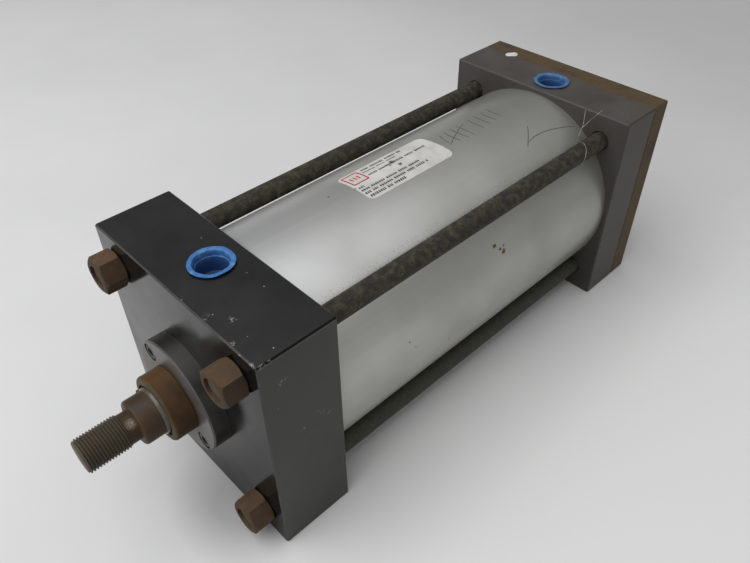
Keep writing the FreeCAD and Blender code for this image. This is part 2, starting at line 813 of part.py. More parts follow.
for body in [item for item in doc.Objects if item.TypeId == "PartDesign::Body"]:
    shape = body.Shape
    if shape.isNull() or not shape.isValid():
        raise RuntimeError("bad shape: " + body.Label)
    shape.exportStep("parts/" + body.Label + ".step")
    box = shape.BoundBox
    print("%-26s solids %d volume %10.1f x %7.2f..%7.2f y %7.2f..%7.2f z %7.2f..%7.2f" % (
        body.Label, len(shape.Solids), shape.Volume,
        box.XMin, box.XMax, box.YMin, box.YMax, box.ZMin, box.ZMax))
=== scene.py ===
# %% [markdown]
# # A hydraulic cylinder, dressed for its picture
# The cylinder comes in as a fixed frame of solids that already have their true sizes and places.
# This lesson gives every one of them the finish it has on the real thing, and adds what is too
# fine for solids: the cut thread of the rod, thin moulded plugs, a paper label, pencil strokes
# and a twisted tag wire. One world unit is a metre, and the script names its sizes in millimetres.

# %% Load the frame
import json
import math
import random

import bmesh
import bpy
from mathutils import Matrix, Vector


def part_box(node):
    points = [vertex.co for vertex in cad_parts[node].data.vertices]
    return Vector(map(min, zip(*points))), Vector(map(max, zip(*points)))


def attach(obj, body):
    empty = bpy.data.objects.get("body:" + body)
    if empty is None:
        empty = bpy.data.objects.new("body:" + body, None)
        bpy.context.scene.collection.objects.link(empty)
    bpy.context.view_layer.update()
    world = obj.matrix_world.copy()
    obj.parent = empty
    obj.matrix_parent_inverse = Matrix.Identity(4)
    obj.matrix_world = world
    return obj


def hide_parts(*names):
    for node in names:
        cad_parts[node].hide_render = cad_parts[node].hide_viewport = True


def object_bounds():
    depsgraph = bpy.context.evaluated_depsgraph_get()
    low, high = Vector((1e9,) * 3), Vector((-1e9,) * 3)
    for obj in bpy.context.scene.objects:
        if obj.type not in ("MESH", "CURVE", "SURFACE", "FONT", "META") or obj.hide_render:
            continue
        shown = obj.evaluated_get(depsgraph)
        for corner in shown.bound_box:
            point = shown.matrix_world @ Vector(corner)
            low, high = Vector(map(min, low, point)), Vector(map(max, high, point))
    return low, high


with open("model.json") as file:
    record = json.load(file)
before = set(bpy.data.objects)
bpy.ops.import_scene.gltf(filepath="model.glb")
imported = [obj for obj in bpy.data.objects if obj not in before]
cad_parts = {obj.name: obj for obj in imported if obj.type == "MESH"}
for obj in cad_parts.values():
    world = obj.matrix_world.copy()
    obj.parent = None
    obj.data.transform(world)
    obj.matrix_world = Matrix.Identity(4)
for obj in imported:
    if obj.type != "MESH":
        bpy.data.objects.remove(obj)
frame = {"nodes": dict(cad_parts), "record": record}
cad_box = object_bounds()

MM = 0.001
nodes = frame["nodes"]
print("solids in the frame:", len(nodes))

# %% [markdown]
# ## Five small helpers
# Colours are picked as sRGB hex values, the way a paint chart shows them, and light adds up in
# linear values, so one function turns them over. Two more give a node its inputs and add a node to
# any tree, of a material or of a shape. The next turns the size of a spot or a scratch in
# millimetres into the scale of a noise pattern, which counts features to the metre. The last puts
# an object into the scene.

# %% Colours, nodes and pattern sizes
def linear(hex_colour):
    """The linear RGBA of an sRGB hex colour."""
    parts = [int(hex_colour[i:i + 2], 16) / 255 for i in (1, 3, 5)]
    bent = [p / 12.92 if p <= 0.04045 else ((p + 0.055) / 1.055) ** 2.4 for p in parts]
    return (*bent, 1.0)


def feed(tree, node, inputs):
    """Gives a node its inputs: numbers, vectors, hex colours, sockets, or nodes for their result."""
    for name, value in inputs.items():
        if isinstance(value, bpy.types.Node):
            value = next(socket for socket in value.outputs if socket.enabled)
        if isinstance(value, bpy.types.NodeSocket):
            tree.links.new(value, node.inputs[name])
        else:
            node.inputs[name].default_value = linear(value) if isinstance(value, str) else value


def add(tree, kind, inputs=None, stops=None, **settings):
    """Adds one node. Its kind may leave out the name of its family, which is looked up."""
    families = (tree.bl_idname.removesuffix("Tree"), "ShaderNode", "")
    node = tree.nodes.new(next(f + kind for f in families if hasattr(bpy.types, f + kind)))
    for name, value in settings.items():
        setattr(node, name, value)
    feed(tree, node, inputs or {})
    if stops:
        ramp = node.color_ramp.elements
        while len(ramp) < len(stops):
            ramp.new(1.0)
        for element, (place, colour) in zip(ramp, stops):
            element.position = place
            element.color = linear(colour)
    return node


def per_mm(size):
    """The noise scale whose features are about this many millimetres across."""
    return 1 / (size * MM)


def placed(name, data):
    """A new object in the scene that shows this mesh, lamp or camera."""
    thing = bpy.data.objects.new(name, data)
    bpy.context.scene.collection.objects.link(thing)
    return thing


print("white in linear light:", linear("#ffffff"))

# %% [markdown]
# ## The camera
# The picture was taken from close by, above the rod's tip, so the near end looks much larger than
# the far one. Where the lens stood was worked out from the corners of the two square blocks. The
# camera is turned by its own axes instead of angles: right, up, and back towards the eye.

# %% Place the camera
CAMERA_PLACE = Vector((427.4, 241.2, 283.3)) * MM
CAMERA_BACK = Vector((0.5147, 0.5466, 0.6605)).normalized()
CAMERA_ROLL = -0.0143
LENS = 33.40

level_right = (-CAMERA_BACK).cross(Vector((0, 0, 1))).normalized()
level_up = level_right.cross(-CAMERA_BACK)
right = level_right * math.cos(CAMERA_ROLL) + level_up * math.sin(CAMERA_ROLL)
up = level_up * math.cos(CAMERA_ROLL) - level_right * math.sin(CAMERA_ROLL)

camera_data = bpy.data.cameras.new("camera")
camera_data.sensor_width = 36
camera_data.lens = LENS
camera_data.clip_start = 0.01
camera = placed("camera", camera_data)
turned = Matrix((right, up, CAMERA_BACK)).transposed().to_4x4()
camera.matrix_world = Matrix.Translation(CAMERA_PLACE) @ turned
bpy.context.scene.camera = camera
print("camera stands at", [round(x, 3) for x in CAMERA_PLACE], "with a lens of", LENS, "mm")

# %% [markdown]
# ## Finishes and patterns
# Every finish starts as clouds of colour, from a noise as large as a stain. Coats are then laid over
# it one by one, each with a pattern that says where it lies. Such a pattern may follow a place
# along an axis, or the side the surface looks to.

# %% Clouds, coats and patterns
def clouded(name, size_mm, detail, colours, ragged=0.5):
    """A finish of coloured clouds. Gives its material, tree and shader, the place, and the clouds."""
    material = bpy.data.materials.new(name)
    material.use_nodes = True
    tree = material.node_tree
    shader = tree.nodes["Principled BSDF"]
    where = add(tree, "TexCoord").outputs["Object"]
    cloud = add(tree, "TexNoise", {"Vector": where, "Scale": per_mm(size_mm), "Detail": detail,
                                   "Roughness": ragged})
    feed(tree, shader, {"Base Color": add(tree, "ValToRGB", {"Fac": cloud}, stops=colours)})
    return material, tree, shader, where, cloud


def lay_coats(tree, shader, coats):
    """Lays coats over a finish, each a pattern of where it lies and a colour, the last on top."""
    under = shader.inputs["Base Color"].links[0].from_socket
    for share, over in coats:
        under = add(tree, "Mix", {0: share, 6: under, 7: over}, data_type="RGBA")
    feed(tree, shader, {"Base Color": under})


def between(tree, where, axis, start, end, most=1.0):
    """A pattern that rises from 0 at one place along an axis to its most at another, both in mm."""
    place = add(tree, "SeparateXYZ", {"Vector": where}).outputs[axis]
    return add(tree, "MapRange", {"Value": place, "From Min": start * MM, "From Max": end * MM,
                                  "To Max": most})


def facing(tree, axis, low, high, most=1.0):
    """A pattern that is at its most where the surface looks along an axis, and 0 elsewhere."""
    normal = add(tree, "NewGeometry").outputs["True Normal"]
    look = add(tree, "SeparateXYZ", {"Vector": normal}).outputs[axis]
    return add(tree, "MapRange", {"Value": look, "From Min": low, "From Max": high, "To Max": most})


print("a cloud of 1 mm asks for a noise scale of", per_mm(1))

# %% [markdown]
# ## Floor and light
# The floor is a pale sheet under the blocks. A wide lamp above the rod's end gives soft shadows that
# fall towards the near side and the cap, and the world fills in the rest. Steel shows what stands
# round it, so reflections see a room of their own, bright on one side and dim on the other, while
# the camera sees a plain pale wall.

# %% Floor, lamp and world
FLOOR_HEIGHT = cad_box[0][2]
FLOOR_SIDE = 6.0
# The room is brightest overhead and behind the camera, and dim beyond the cap
BRIGHT_SIDE = (0.5, 0.22, 0.65)
# Where a soft shade lies on the paper, and how far it reaches along each axis, in mm
SHADE_MIDDLE = (342.0, 31.0, -69.85)
SHADE_HALVES = (22.0, 31.0, 10.0)
# How strongly the world lights the scene, and how strongly reflections see its room
EVEN_LIGHT = 0.43
ROOM_LIGHT = 1.3


def make_floor():
    """One large square under the blocks."""
    half = FLOOR_SIDE / 2
    corners = [(-half, -half), (half, -half), (half, half), (-half, half)]
    mesh = bpy.data.meshes.new("floor")
    mesh.from_pydata([(x, y, FLOOR_HEIGHT) for x, y in corners], [], [(0, 1, 2, 3)])
    return placed("floor", mesh)


def floor_paper():
    """Matt paper: pale grey, with painted light on the near side, painted shade far off and a painted
    shadow close before the head.
    """
    material, tree, shader, where = clouded(
        "matt_floor_paper", 180, 3.0, [(0.3, "#d8d8d9"), (0.7, "#dfdfdf")])[:4]
    offset = add(tree, "VectorMath", {0: where, 1: [v * MM for v in SHADE_MIDDLE]},
                 operation="SUBTRACT")
    share = add(tree, "VectorMath", {0: offset, 1: [per_mm(v) for v in SHADE_HALVES]},
                operation="MULTIPLY")
    reach = add(tree, "VectorMath", {0: share}, operation="LENGTH")
    shade = add(tree, "MapRange", {"Value": reach, "From Min": 1.5, "From Max": 0.4, "To Max": 0.5})
    # painted light on the near side, painted shade far off, and the painted shadow close before the head
    lay_coats(tree, shader, [
        (between(tree, where, "Y", 75, 135), "#e6e6e6"),
        (between(tree, where, "X", -60, -420, 0.34), "#a0a0a0"),
        (shade, "#7d7d7d"),
    ])
    feed(tree, shader, {"Roughness": 0.85})
    return material


def soft_lamp(name, place, aim, side, watts):
    """A square lamp that looks from its place to its aim, both in metres."""
    lamp_data = bpy.data.lights.new(name, "AREA")
    lamp_data.size = side
    lamp_data.energy = watts
    lamp = placed(name, lamp_data)
    lamp.location = place
    lamp.rotation_euler = (Vector(place) - Vector(aim)).to_track_quat("Z", "Y").to_euler()


def light_world():
    """Even light; the camera sees a pale wall, and reflections see a room with one bright side."""
    world = bpy.data.worlds.new("studio")
    world.use_nodes = True
    tree = world.node_tree
    tree.nodes.clear()
    direction = add(tree, "TexCoord").outputs["Generated"]
    height = add(tree, "SeparateXYZ", {"Vector": direction}).outputs["Z"]
    wall = add(tree, "ValToRGB", {"Fac": height},
               stops=[(0.0, "#d6d6d6"), (0.5, "#c4c4c4"), (1.0, "#b0b0b0")])
    lean = add(tree, "VectorMath", {0: direction, 1: BRIGHT_SIDE}, operation="DOT_PRODUCT")
    towards = add(tree, "MapRange", {"Value": lean, "From Min": -0.4, "From Max": 0.6})
    room = add(tree, "ValToRGB", {"Fac": towards},
               stops=[(0.1, "#4c4c4c"), (0.4, "#7a7a79"), (0.52, "#848484"), (0.63, "#a8a8a8"),
                      (0.76, "#ffffff")])
    low = add(tree, "ValToRGB", {"Fac": height},
              stops=[(0.0, "#b0b0b0"), (0.12, "#929292"), (0.4, "#000000")])
    around = add(tree, "Mix", {0: 1.0, 6: room, 7: low}, data_type="RGBA", blend_type="LIGHTEN")
    path = add(tree, "LightPath").outputs
    even = add(tree, "Background", {"Color": "#ffffff", "Strength": EVEN_LIGHT})
    shown = add(tree, "Background", {"Color": wall})
    mirrored = add(tree, "Background", {"Color": around, "Strength": ROOM_LIGHT})
    shiny = add(tree, "Math", {0: path["Is Glossy Ray"], 1: path["Is Transmission Ray"]},
                operation="MAXIMUM")
    lit = add(tree, "MixShader", {0: shiny, 1: even, 2: mirrored})
    both = add(tree, "MixShader", {0: path["Is Camera Ray"], 1: lit, 2: shown})
    add(tree, "OutputWorld", {"Surface": both})
    bpy.context.scene.world = world


floor = make_floor()
floor.data.materials.append(floor_paper())
soft_lamp("key_lamp", place=(0.85, -0.16, 1.02), aim=(0.25, 0.05, 0), side=1.3, watts=12.3)
light_world()
bpy.context.scene.view_settings.view_transform = "Standard"
print("floor lies at", round(FLOOR_HEIGHT / MM, 2), "mm")

# %% [markdown]
# ## One way to weather steel
# Most of this cylinder is steel that has lain in a store: sawn, blacked, oiled or rusting. They all
# share three layers, so one recipe makes them and each finish brings its own colours and sizes.
# Broad patches come from the clouds, small specks from a noise as fine as a rust pit, and the same
# two patterns drive roughness and bump, so that rust looks rough as well as brown.

# %% A recipe for weathered metal
def weathered(name, patch_mm, patches, speck_mm, speck, amount, rough, bump_mm, metallic=0.0):
    """Patches of several colours with specks of one more, rough where it is stained."""
    material, tree, shader, where, broad = clouded(name, patch_mm, 5.0, patches, 0.62)
    fine = add(tree, "TexNoise", {"Vector": where, "Scale": per_mm(speck_mm), "Detail": 3.0,
                                  "Roughness": 0.7})
    share = add(tree, "MapRange", {"Value": fine, "From Min": 0.66 - amount * 0.4,
                                   "From Max": 0.76 - amount * 0.4})
    lay_coats(tree, shader, [(share, speck)])
    matt = add(tree, "MapRange", {"Value": broad, "From Min": 0.3, "From Max": 0.7,
                                  "To Min": rough[0], "To Max": rough[1]})
    raised = add(tree, "Bump", {"Height": fine, "Strength": 0.6, "Distance": bump_mm * MM})
    feed(tree, shader, {"Roughness": matt, "Normal": raised, "Metallic": metallic})
    return material, tree, shader, where


print("recipe ready, specks of rust are about 1 mm across")

# %% [markdown]
# ## Marks at known places
# A knock, a chip of paint or a stain sits at one place, which noise can't be told. Each such mark is
# a small ball in space with a radius in millimetres, and the surface inside the ball takes the
# mark's colour. A wobble on the place first makes the edge ragged.

# %% Marks
def marks(tree, where, places, wobble_mm, soft_mm=0.15):
    """A pattern that is 1 inside any of the balls (x, y, z, radius) and 0 outside, all in mm."""
    noise = add(tree, "TexNoise", {"Vector": where, "Scale": per_mm(1.6), "Detail": 2.0})
    centred = add(tree, "VectorMath", {0: noise.outputs["Color"], 1: (0.5, 0.5, 0.5)},
                  operation="SUBTRACT")
    shaken = add(tree, "VectorMath", {0: centred, 1: (wobble_mm * MM,) * 3, 2: where},
                 operation="MULTIPLY_ADD")
    deepest = None
    for x, y, z, radius in places:
        away = add(tree, "VectorMath", {0: shaken, 1: (x * MM, y * MM, z * MM)},
                   operation="DISTANCE")
        inside = add(tree, "Math", {0: radius * MM, 1: away}, operation="SUBTRACT")
        if deepest is not None:
            inside = add(tree, "Math", {0: deepest, 1: inside}, operation="MAXIMUM")
        deepest = inside
    return add(tree, "MapRange", {"Value": deepest, "From Max": soft_mm * MM})


def in_flecks(tree, where, mark, grain_mm, low, high):
    """Leaves only the grains of a mark, as where a knock took the coat off in flecks."""
    grain = add(tree, "TexNoise", {"Vector": where, "Scale": per_mm(grain_mm), "Detail": 3.0})
    kept = add(tree, "MapRange", {"Value": grain, "From Min": low, "From Max": high})
    return add(tree, "Math", {0: mark, 1: kept}, operation="MULTIPLY")


def broken_edge(tree):
    """A pattern that is 1 on the broken edges, whose faces look between the main axes."""
    normal = add(tree, "NewGeometry").outputs["True Normal"]
    size = add(tree, "VectorMath", {0: normal}, operation="ABSOLUTE")
    parts = add(tree, "SeparateXYZ", {"Vector": size}).outputs
    two = add(tree, "Math", {0: parts[0], 1: parts[1]}, operation="MAXIMUM")
    most = add(tree, "Math", {0: two, 1: parts[2]}, operation="MAXIMUM")
    return add(tree, "MapRange", {"Value": most, "From Min": 0.93, "From Max": 0.85})


# Single chips in the black coat, each with its radius
HEAD_CHIPS = [
    (332.2, 12.2, 69.8, 0.4), (320.7, 65.1, 69.8, 0.5), (300.4, -20.6, 69.8, 0.45),
    (299.8, 31.0, 69.8, 0.4), (300.0, 17.7, 69.8, 0.3), (324.5, 52.0, 69.8, 0.3),
    (313.6, 69.8, 12.5, 0.5), (326.0, 69.8, 38.0, 0.3), (327.5, 30.2, 69.8, 0.35),
]
# Knocks that took the coat off in flecks, each with the radius it reaches
HEAD_KNOCKS = [
    (330.3, 29.7, 69.8, 2.2), (323.2, 38.7, 69.8, 2.4), (331.9, 51.1, 69.8, 2.0),
    (321.9, 69.8, 53.4, 3.0), (298.5, 69.8, 11.2, 2.0), (301.5, 69.8, 14.5, 2.0),
    (304.5, 69.8, 17.5, 1.6), (333.3, 66.5, 69.6, 2.1), (330.5, 69.8, 69.6, 2.1),
    (333.3, 58.0, 69.6, 1.2), (326.0, 69.8, 69.6, 1.4),
]
print("chips on the head:", len(HEAD_CHIPS), "knocks:", len(HEAD_KNOCKS))

# %% [markdown]
# ## The two blocks and the rear plate
# The head at the rod's end is blacked steel: dark, glossy on its front face, with bright knocks
# where the black has gone. The cap at the other end is bare steel that has turned grey-brown, and
# the plate behind it was flame cut and has a full coat of ochre rust.

# %% Blacked steel, bare steel and rusty plate
def blacked_steel():
    """Black conversion coat on milled steel: dull on the sides, glossy on the ground front face."""
    material, tree, shader, where = weathered(
        "blacked_milled_steel", 30, [(0.3, "#0c0c0d"), (0.7, "#151515")],
        0.9, "#22221f", 0.1, (0.3, 0.42), 0.02)
    front = facing(tree, 0, 0.8, 0.95)
    side = facing(tree, 1, 0.8, 0.95)
    sawn = shader.inputs["Roughness"].links[0].from_socket
    cloud = add(tree, "TexNoise", {"Vector": where, "Scale": per_mm(30), "Detail": 2.0})
    ground = add(tree, "MapRange", {"Value": cloud, "From Min": 0.36, "From Max": 0.66,
                                    "To Min": 0.14, "To Max": 0.26})
    matt = add(tree, "Mix", {0: front, 2: sawn, 3: ground})
    # oil lies on the front face, thickest towards its high far corner, and makes it shine
    across = add(tree, "VectorMath", {0: where, 1: (0, -1, 0.5)}, operation="DOT_PRODUCT")
    oiled = add(tree, "MapRange", {"Value": across, "From Min": -60 * MM, "From Max": 70 * MM,
                                   "To Min": 1.27, "To Max": 1.6})
    size = add(tree, "VectorMath", {0: where}, operation="ABSOLUTE")
    thinned = add(tree, "Math", {0: oiled, 1: between(tree, size, "Z", 34, 66, 0.1)},
                  operation="SUBTRACT")
    shine = add(tree, "Mix", {0: front, 2: 1.45, 3: thinned})
    # the broken edge on top of the near side is blacked, darkened further with painted shade, and hardly
    # shines
    near_top = add(tree, "Math", {0: facing(tree, 1, 0.4, 0.5), 1: facing(tree, 2, 0.4, 0.5)},
                   operation="MULTIPLY")
    feed(tree, shader, {"Roughness": matt, "IOR": add(tree, "Mix", {0: near_top, 2: shine, 3: 1.2})})
    # the side is rubbed just below that edge, where the pale flecks also make a painted highlight along it,
    # and some knocks have bared the edges
    rim = between(tree, where, "Z", 67.9, 68.3)
    side_rim = add(tree, "Math", {0: side, 1: rim}, operation="MULTIPLY")
    edge = broken_edge(tree)
    knocks = marks(tree, where, HEAD_KNOCKS, 2.0, 1.2)
    bare = add(tree, "Math", {0: edge, 1: knocks}, operation="MULTIPLY")
    # the sides were sawn, and the coat on them is thinner and more olive
    lay_coats(tree, shader, [
        (side, "#22221b"),
        (in_flecks(tree, where, edge, 9.0, 0.3, 0.6), "#2b2b29"),
        # painted shade on the broken edge on top of the near side
        (near_top, "#080808"),
        # rubbed flecks below the top edge, which also make a painted highlight
        (in_flecks(tree, where, side_rim, 2.5, 0.34, 0.52), "#3a3935"),
        (in_flecks(tree, where, knocks, 0.9, 0.55, 0.64), "#83817c"),
        (in_flecks(tree, where, bare, 1.2, 0.5, 0.58), "#85827c"),
        (marks(tree, where, HEAD_CHIPS, 0.9), "#8f8d88"),
    ])
    return material


def bare_steel():
    """Bare bar steel that has lain for years: grey-brown, dull, with darker clouds and painted shade on its
    front face.
    """
    material, tree, shader = weathered(
        "stored_bar_steel", 26, [(0.3, "#35302c"), (0.5, "#3e3a36"), (0.7, "#454340")],
        1.2, "#524134", 0.08, (0.5, 0.68), 0.03)[:3]
    # painted shade: the front face, which looks towards the head, is darker
    lay_coats(tree, shader, [(facing(tree, 0, 0.8, 0.95, 0.45), "#211d1a"), (broken_edge(tree), "#2b2825")])
    return material


def rusty_plate():
    """Flame-cut plate with a coat of ochre rust, greyer and darker in patches."""
    return weathered(
        "ochre_rusted_plate", 16, [(0.3, "#2a231a"), (0.5, "#47371b"), (0.7, "#3a2d22")],
        1.5, "#5b4524", 0.14, (0.7, 0.9), 0.08)[0]


blocks = {"rod_end_block": blacked_steel(), "cap_end_block": bare_steel(), "rear_plate": rusty_plate()}
print("block finishes:", [m.name for m in blocks.values()])

# %% [markdown]
# ## The barrel
# The barrel is drawn aluminium with a satin skin. Drawing leaves faint darker lines along its
# length, and handling leaves grey smudges and a few brown stains. A metal shows its surroundings
# more than a colour of its own, so the smudges change its roughness too.

# %% Satin aluminium
BARREL_STAINS = [(160.2, 58.8, 31.4, 1.6), (153.9, 61.6, 25.6, 1.9), (156.2, 60.6, 28.0, 1.2),
                 (153.0, 60.2, 28.6, 1.1), (236.9, 65.5, 12.3, 0.9), (232.9, 66.4, 6.1, 0.8),
                 (205.0, 66.2, -8.0, 0.9), (228.0, -7.0, 66.3, 0.9)]


def satin_aluminium():
    """Drawn aluminium tube, etched satin: nearly matt, with fine lines along it, dust, painted highlight
    and painted shade.
    """
    material, tree, shader, where, smudge = clouded(
        "satin_drawn_aluminium", 42, 2.0, [(0.3, "#b2b3ad"), (0.5, "#c0c1bb"), (0.7, "#cbccc7")])
    stretched = add(tree, "Mapping", {"Vector": where, "Scale": (0.03, 1, 1)})
    lines = add(tree, "TexNoise", {"Vector": stretched, "Scale": per_mm(2.0), "Detail": 1.0})
    drawn = add(tree, "MapRange", {"Value": lines, "From Min": 0.2, "From Max": 0.8, "To Max": 0.1})
    # painted highlight: the top towards the head is painted whiter and a little blue, where the glare lies
    painted_highlight = add(tree, "Math", {0: between(tree, where, "X", 170, 290, 0.5),
                               1: facing(tree, 2, 0.6, 0.85)}, operation="MULTIPLY")
    # where the tie rods run close, at 45 degrees to the upright, a painted shadow of the rods darkens the
    # barrel, and dust gathers in flecks just above them
    size = add(tree, "VectorMath", {0: where}, operation="ABSOLUTE")
    parts = add(tree, "SeparateXYZ", {"Vector": size}).outputs
    apart = add(tree, "Math", {0: parts[1], 1: parts[2]}, operation="SUBTRACT")
    aside = add(tree, "Math", {0: apart}, operation="ABSOLUTE")
    painted_rod_shadow = add(tree, "MapRange", {"Value": aside, "From Min": 10 * MM, "From Max": 3 * MM,
                                       "To Max": 0.25})
    beside_rod = add(tree, "MapRange", {"Value": aside, "From Min": 17 * MM, "From Max": 9 * MM})
    above_rod = add(tree, "Math", {0: beside_rod, 1: facing(tree, 2, 0.72, 0.78)},
                    operation="MULTIPLY")
    # painted shade: the side that faces away from the lamp, and the far end, are darker
    lay_coats(tree, shader, [
        (drawn, "#8f908a"),
        # painted shade on the side away from the lamp, and towards the far end
        (facing(tree, 1, 0.6, 0.9, 0.35), "#8c8d85"),
        (between(tree, where, "X", 260, 40, 0.5), "#8c8d85"),
        # painted highlight on the top towards the head
        (painted_highlight, "#cfcfd6"),
        (marks(tree, where, BARREL_STAINS, 2.2, 0.6), "#5d463a"),
        # painted shadow of the tie rods on the barrel
        (painted_rod_shadow, "#5e5e56"),
        (in_flecks(tree, where, above_rod, 0.8, 0.6, 0.68), "#68675c"),
    ])
    dull = add(tree, "MapRange", {"Value": smudge, "From Min": 0.3, "From Max": 0.7,
                                  "To Min": 0.36, "To Max": 0.29})
    feed(tree, shader, {"Roughness": dull, "Metallic": 0.7})
    return material


barrel_finish = satin_aluminium()
print("stains on the barrel:", len(BARREL_STAINS))

# %% [markdown]
# ## Tie rods, nuts and gland
# These are the rustiest pieces. The rods are dark with olive and brown mottling a few millimetres
# across, the nuts are orange-brown on the flats and darker at the side, and the gland's nose is
# reddest on top where water sat. The round retainer was ground, so it is grey and smooth.

# %% Rusty rods, nuts, gland and the ground retainer
def rusty_rod():
    """Cold-drawn bar with a thin, mottled coat of brown and olive rust; its cut ends are paler."""
    material, tree, shader, where = weathered(
        "mottled_drawn_bar", 4.0,
        [(0.38, "#1b1a15"), (0.48, "#2a2820"), (0.58, "#3b372b"), (0.7, "#4a4635")],
        0.8, "#100f0c", 0.26, (0.6, 0.85), 0.1)
    # the low rods were handled less, and their coat is more even
    lay_coats(tree, shader, [
        (between(tree, where, "Z", 0, -20, 0.45), "#3b3d35"),
        (facing(tree, 0, 0.8, 0.95), "#423a2c"),
    ])
    feed(tree, shader, {"Specular IOR Level": 0.3})
    return material


def rusty_nut():
    """Hexagon nut steel under orange-brown rust, greyer on the end that a spanner rubbed."""
    material, tree, shader = weathered(
        "orange_rusted_nut_steel", 7, [(0.3, "#2e2014"), (0.5, "#463221"), (0.7, "#5d432b")],
        1.1, "#271b12", 0.18, (0.65, 0.9), 0.1)[:3]
    lay_coats(tree, shader, [
        (facing(tree, 2, 0.3, 1.0, 0.3), "#62513e"),
        (facing(tree, 1, 0.3, 1.0, 0.5), "#1f1811"),
        (facing(tree, 0, 0.5, 1.5), "#2c281c"),
    ])
    feed(tree, shader, {"Specular IOR Level": 0.3})
    return material


def rusty_gland():
    """Cast iron nose with a skin of brown rust, reddest on top where water sat, oily in front."""
    material, tree, shader, where = weathered(
        "oily_rusted_cast_iron", 10, [(0.3, "#261b10"), (0.5, "#362514"), (0.7, "#462f1a")],
        1.4, "#241a11", 0.12, (0.45, 0.7), 0.06)
    lay_coats(tree, shader, [
        (in_flecks(tree, where, facing(tree, 2, 0.2, 1.2), 12.0, 0.35, 0.6), "#543a21"),
        (facing(tree, 0, 0.3, 1.2), "#48432f"),
    ])
    feed(tree, shader, {"Specular IOR Level": 0.2})
    return material


# How far the painted shadow of the nose reaches out over the retainer's face
PAINTED_NOSE_SHADOW = [(343.0, 0, 0, 25.5)]


def ground_retainer():
    """Ground steel disc: grey on its face, with a darker rim and a painted shadow round the nose."""
    material, tree, shader, where = weathered(
        "ground_retainer_steel", 18, [(0.3, "#454240"), (0.7, "#565352")],
        1.0, "#47413b", 0.12, (0.32, 0.48), 0.02)
    # painted shadow of the nose on the retainer's face
    lay_coats(tree, shader, [(marks(tree, where, PAINTED_NOSE_SHADOW, 9.0, 6.0), "#3b352f")])
    face = shader.inputs["Base Color"].links[0].from_socket
    rimmed = add(tree, "Mix", {0: facing(tree, 0, 0.6, 0.9), 6: "#1f1d19", 7: face}, data_type="RGBA")
    feed(tree, shader, {"Base Color": rimmed})
    return material


# The place on the neck where the plating has been rubbed bright
ROD_BRIGHT = [(370.8, 4.8, 7.0, 3.4)]


def oiled_rod_steel():
    """Plated rod steel under old preserving oil that has gone brown and olive, greyer on the thread."""
    material, tree, shader, where = weathered(
        "oiled_rod_steel", 12, [(0.3, "#21170c"), (0.5, "#332412"), (0.7, "#423019")],
        1.3, "#4f3c26", 0.1, (0.4, 0.6), 0.05)
    bright = in_flecks(tree, where, marks(tree, where, ROD_BRIGHT, 1.2, 2.4), 0.35, 0.4, 0.65)
    lay_coats(tree, shader, [(between(tree, where, "X", 373, 374, 0.75), "#474136"), (bright, "#a3978b")])
    feed(tree, shader, {"Specular IOR Level": 0.25})
    return material


rod_finish = oiled_rod_steel()
tie_finish = rusty_rod()
nut_finish = rusty_nut()
print("rusty finishes:", tie_finish.name, nut_finish.name, rod_finish.name)

# %% [markdown]
# ## Small parts and parts inside
# Screws, seals, bearing and piston show little or nothing, but a reader who pulls the
# rod out or looks from the back sees them, so each gets the finish of its real material.

# %% Dress every solid
# Slot, material, size of patches, two colours, size of specks, their colour and amount, the
# roughness from clean to stained, and the bump
SMALL_PARTS = [
    ("dark_screw_steel", "blacked_screw_steel", 5, "#1d1b19", "#35302a",
     0.8, "#5a4a3a", 0.1, (0.4, 0.6), 0.03),
    ("seal_rubber", "moulded_nitrile_rubber", 9, "#161616", "#222221",
     0.7, "#2c2c2b", 0.05, (0.5, 0.65), 0.02),
    ("bearing_bronze", "turned_bearing_bronze", 10, "#8a6638", "#a98049",
     1.0, "#6e5230", 0.05, (0.3, 0.45), 0.02, 1.0),
    ("wiper_polymer", "oily_wiper_polyurethane", 6, "#353026", "#4a4436",
     0.8, "#6b6454", 0.1, (0.12, 0.25), 0.03),
    ("piston_iron", "turned_piston_iron", 12, "#55534f", "#66635e",
     1.0, "#454340", 0.06, (0.4, 0.55), 0.02),
    ("wear_ring_polymer", "filled_wear_ring_polymer", 8, "#5b4a3c", "#6b5848",
     0.8, "#49392d", 0.05, (0.5, 0.6), 0.02),
]
finish_of = {slot: weathered(name, size, [(0.3, dark), (0.7, pale)], *layers)[0]
             for slot, name, size, dark, pale, *layers in SMALL_PARTS}
finish_of.update({
    "satin_aluminium": barrel_finish, "rusty_tie_rod": tie_finish, "nut_steel": nut_finish,
    "aged_rod_steel": rod_finish, "rusty_gland_iron": rusty_gland(),
    "grey_retainer_steel": ground_retainer(), "black_coated_steel": blocks["rod_end_block"],
    "worn_cap_steel": blocks["cap_end_block"], "rusty_plate": blocks["rear_plate"],
})


def dress(obj, material):
    """Gives an object one finish in place of all it had."""
    obj.data.materials.clear()
    obj.data.materials.append(material)


slot_of = {part["node"]: part["material_slot"] for part in frame["record"]["subparts"]}
for node_name, node in nodes.items():
    if slot_of[node_name] in finish_of:
        dress(node, finish_of[slot_of[node_name]])
print("solids dressed:", sum(slot_of[n] in finish_of for n in nodes), "of", len(nodes))

# %% [markdown]
# ## Turned pieces and round lines
# A lathe cuts a profile round an axis, and so does this helper: it takes a list of
# (distance along the axis, radius) and sweeps it in steps. The ends close at radius nought.
# A wave may be passed in, which moves each point a little, for a piece that isn't quite round.
# Pencil strokes and wires are lines through a few points, rounded by cutting their corners.

# %% A small lathe and a corner cutter
def mesh_from(shape, name):
    """Turns a worked shape into a mesh with its faces outward."""
    bmesh.ops.recalc_face_normals(shape, faces=shape.faces)
    mesh = bpy.data.meshes.new(name)
    shape.to_mesh(mesh)
    shape.free()
    return mesh


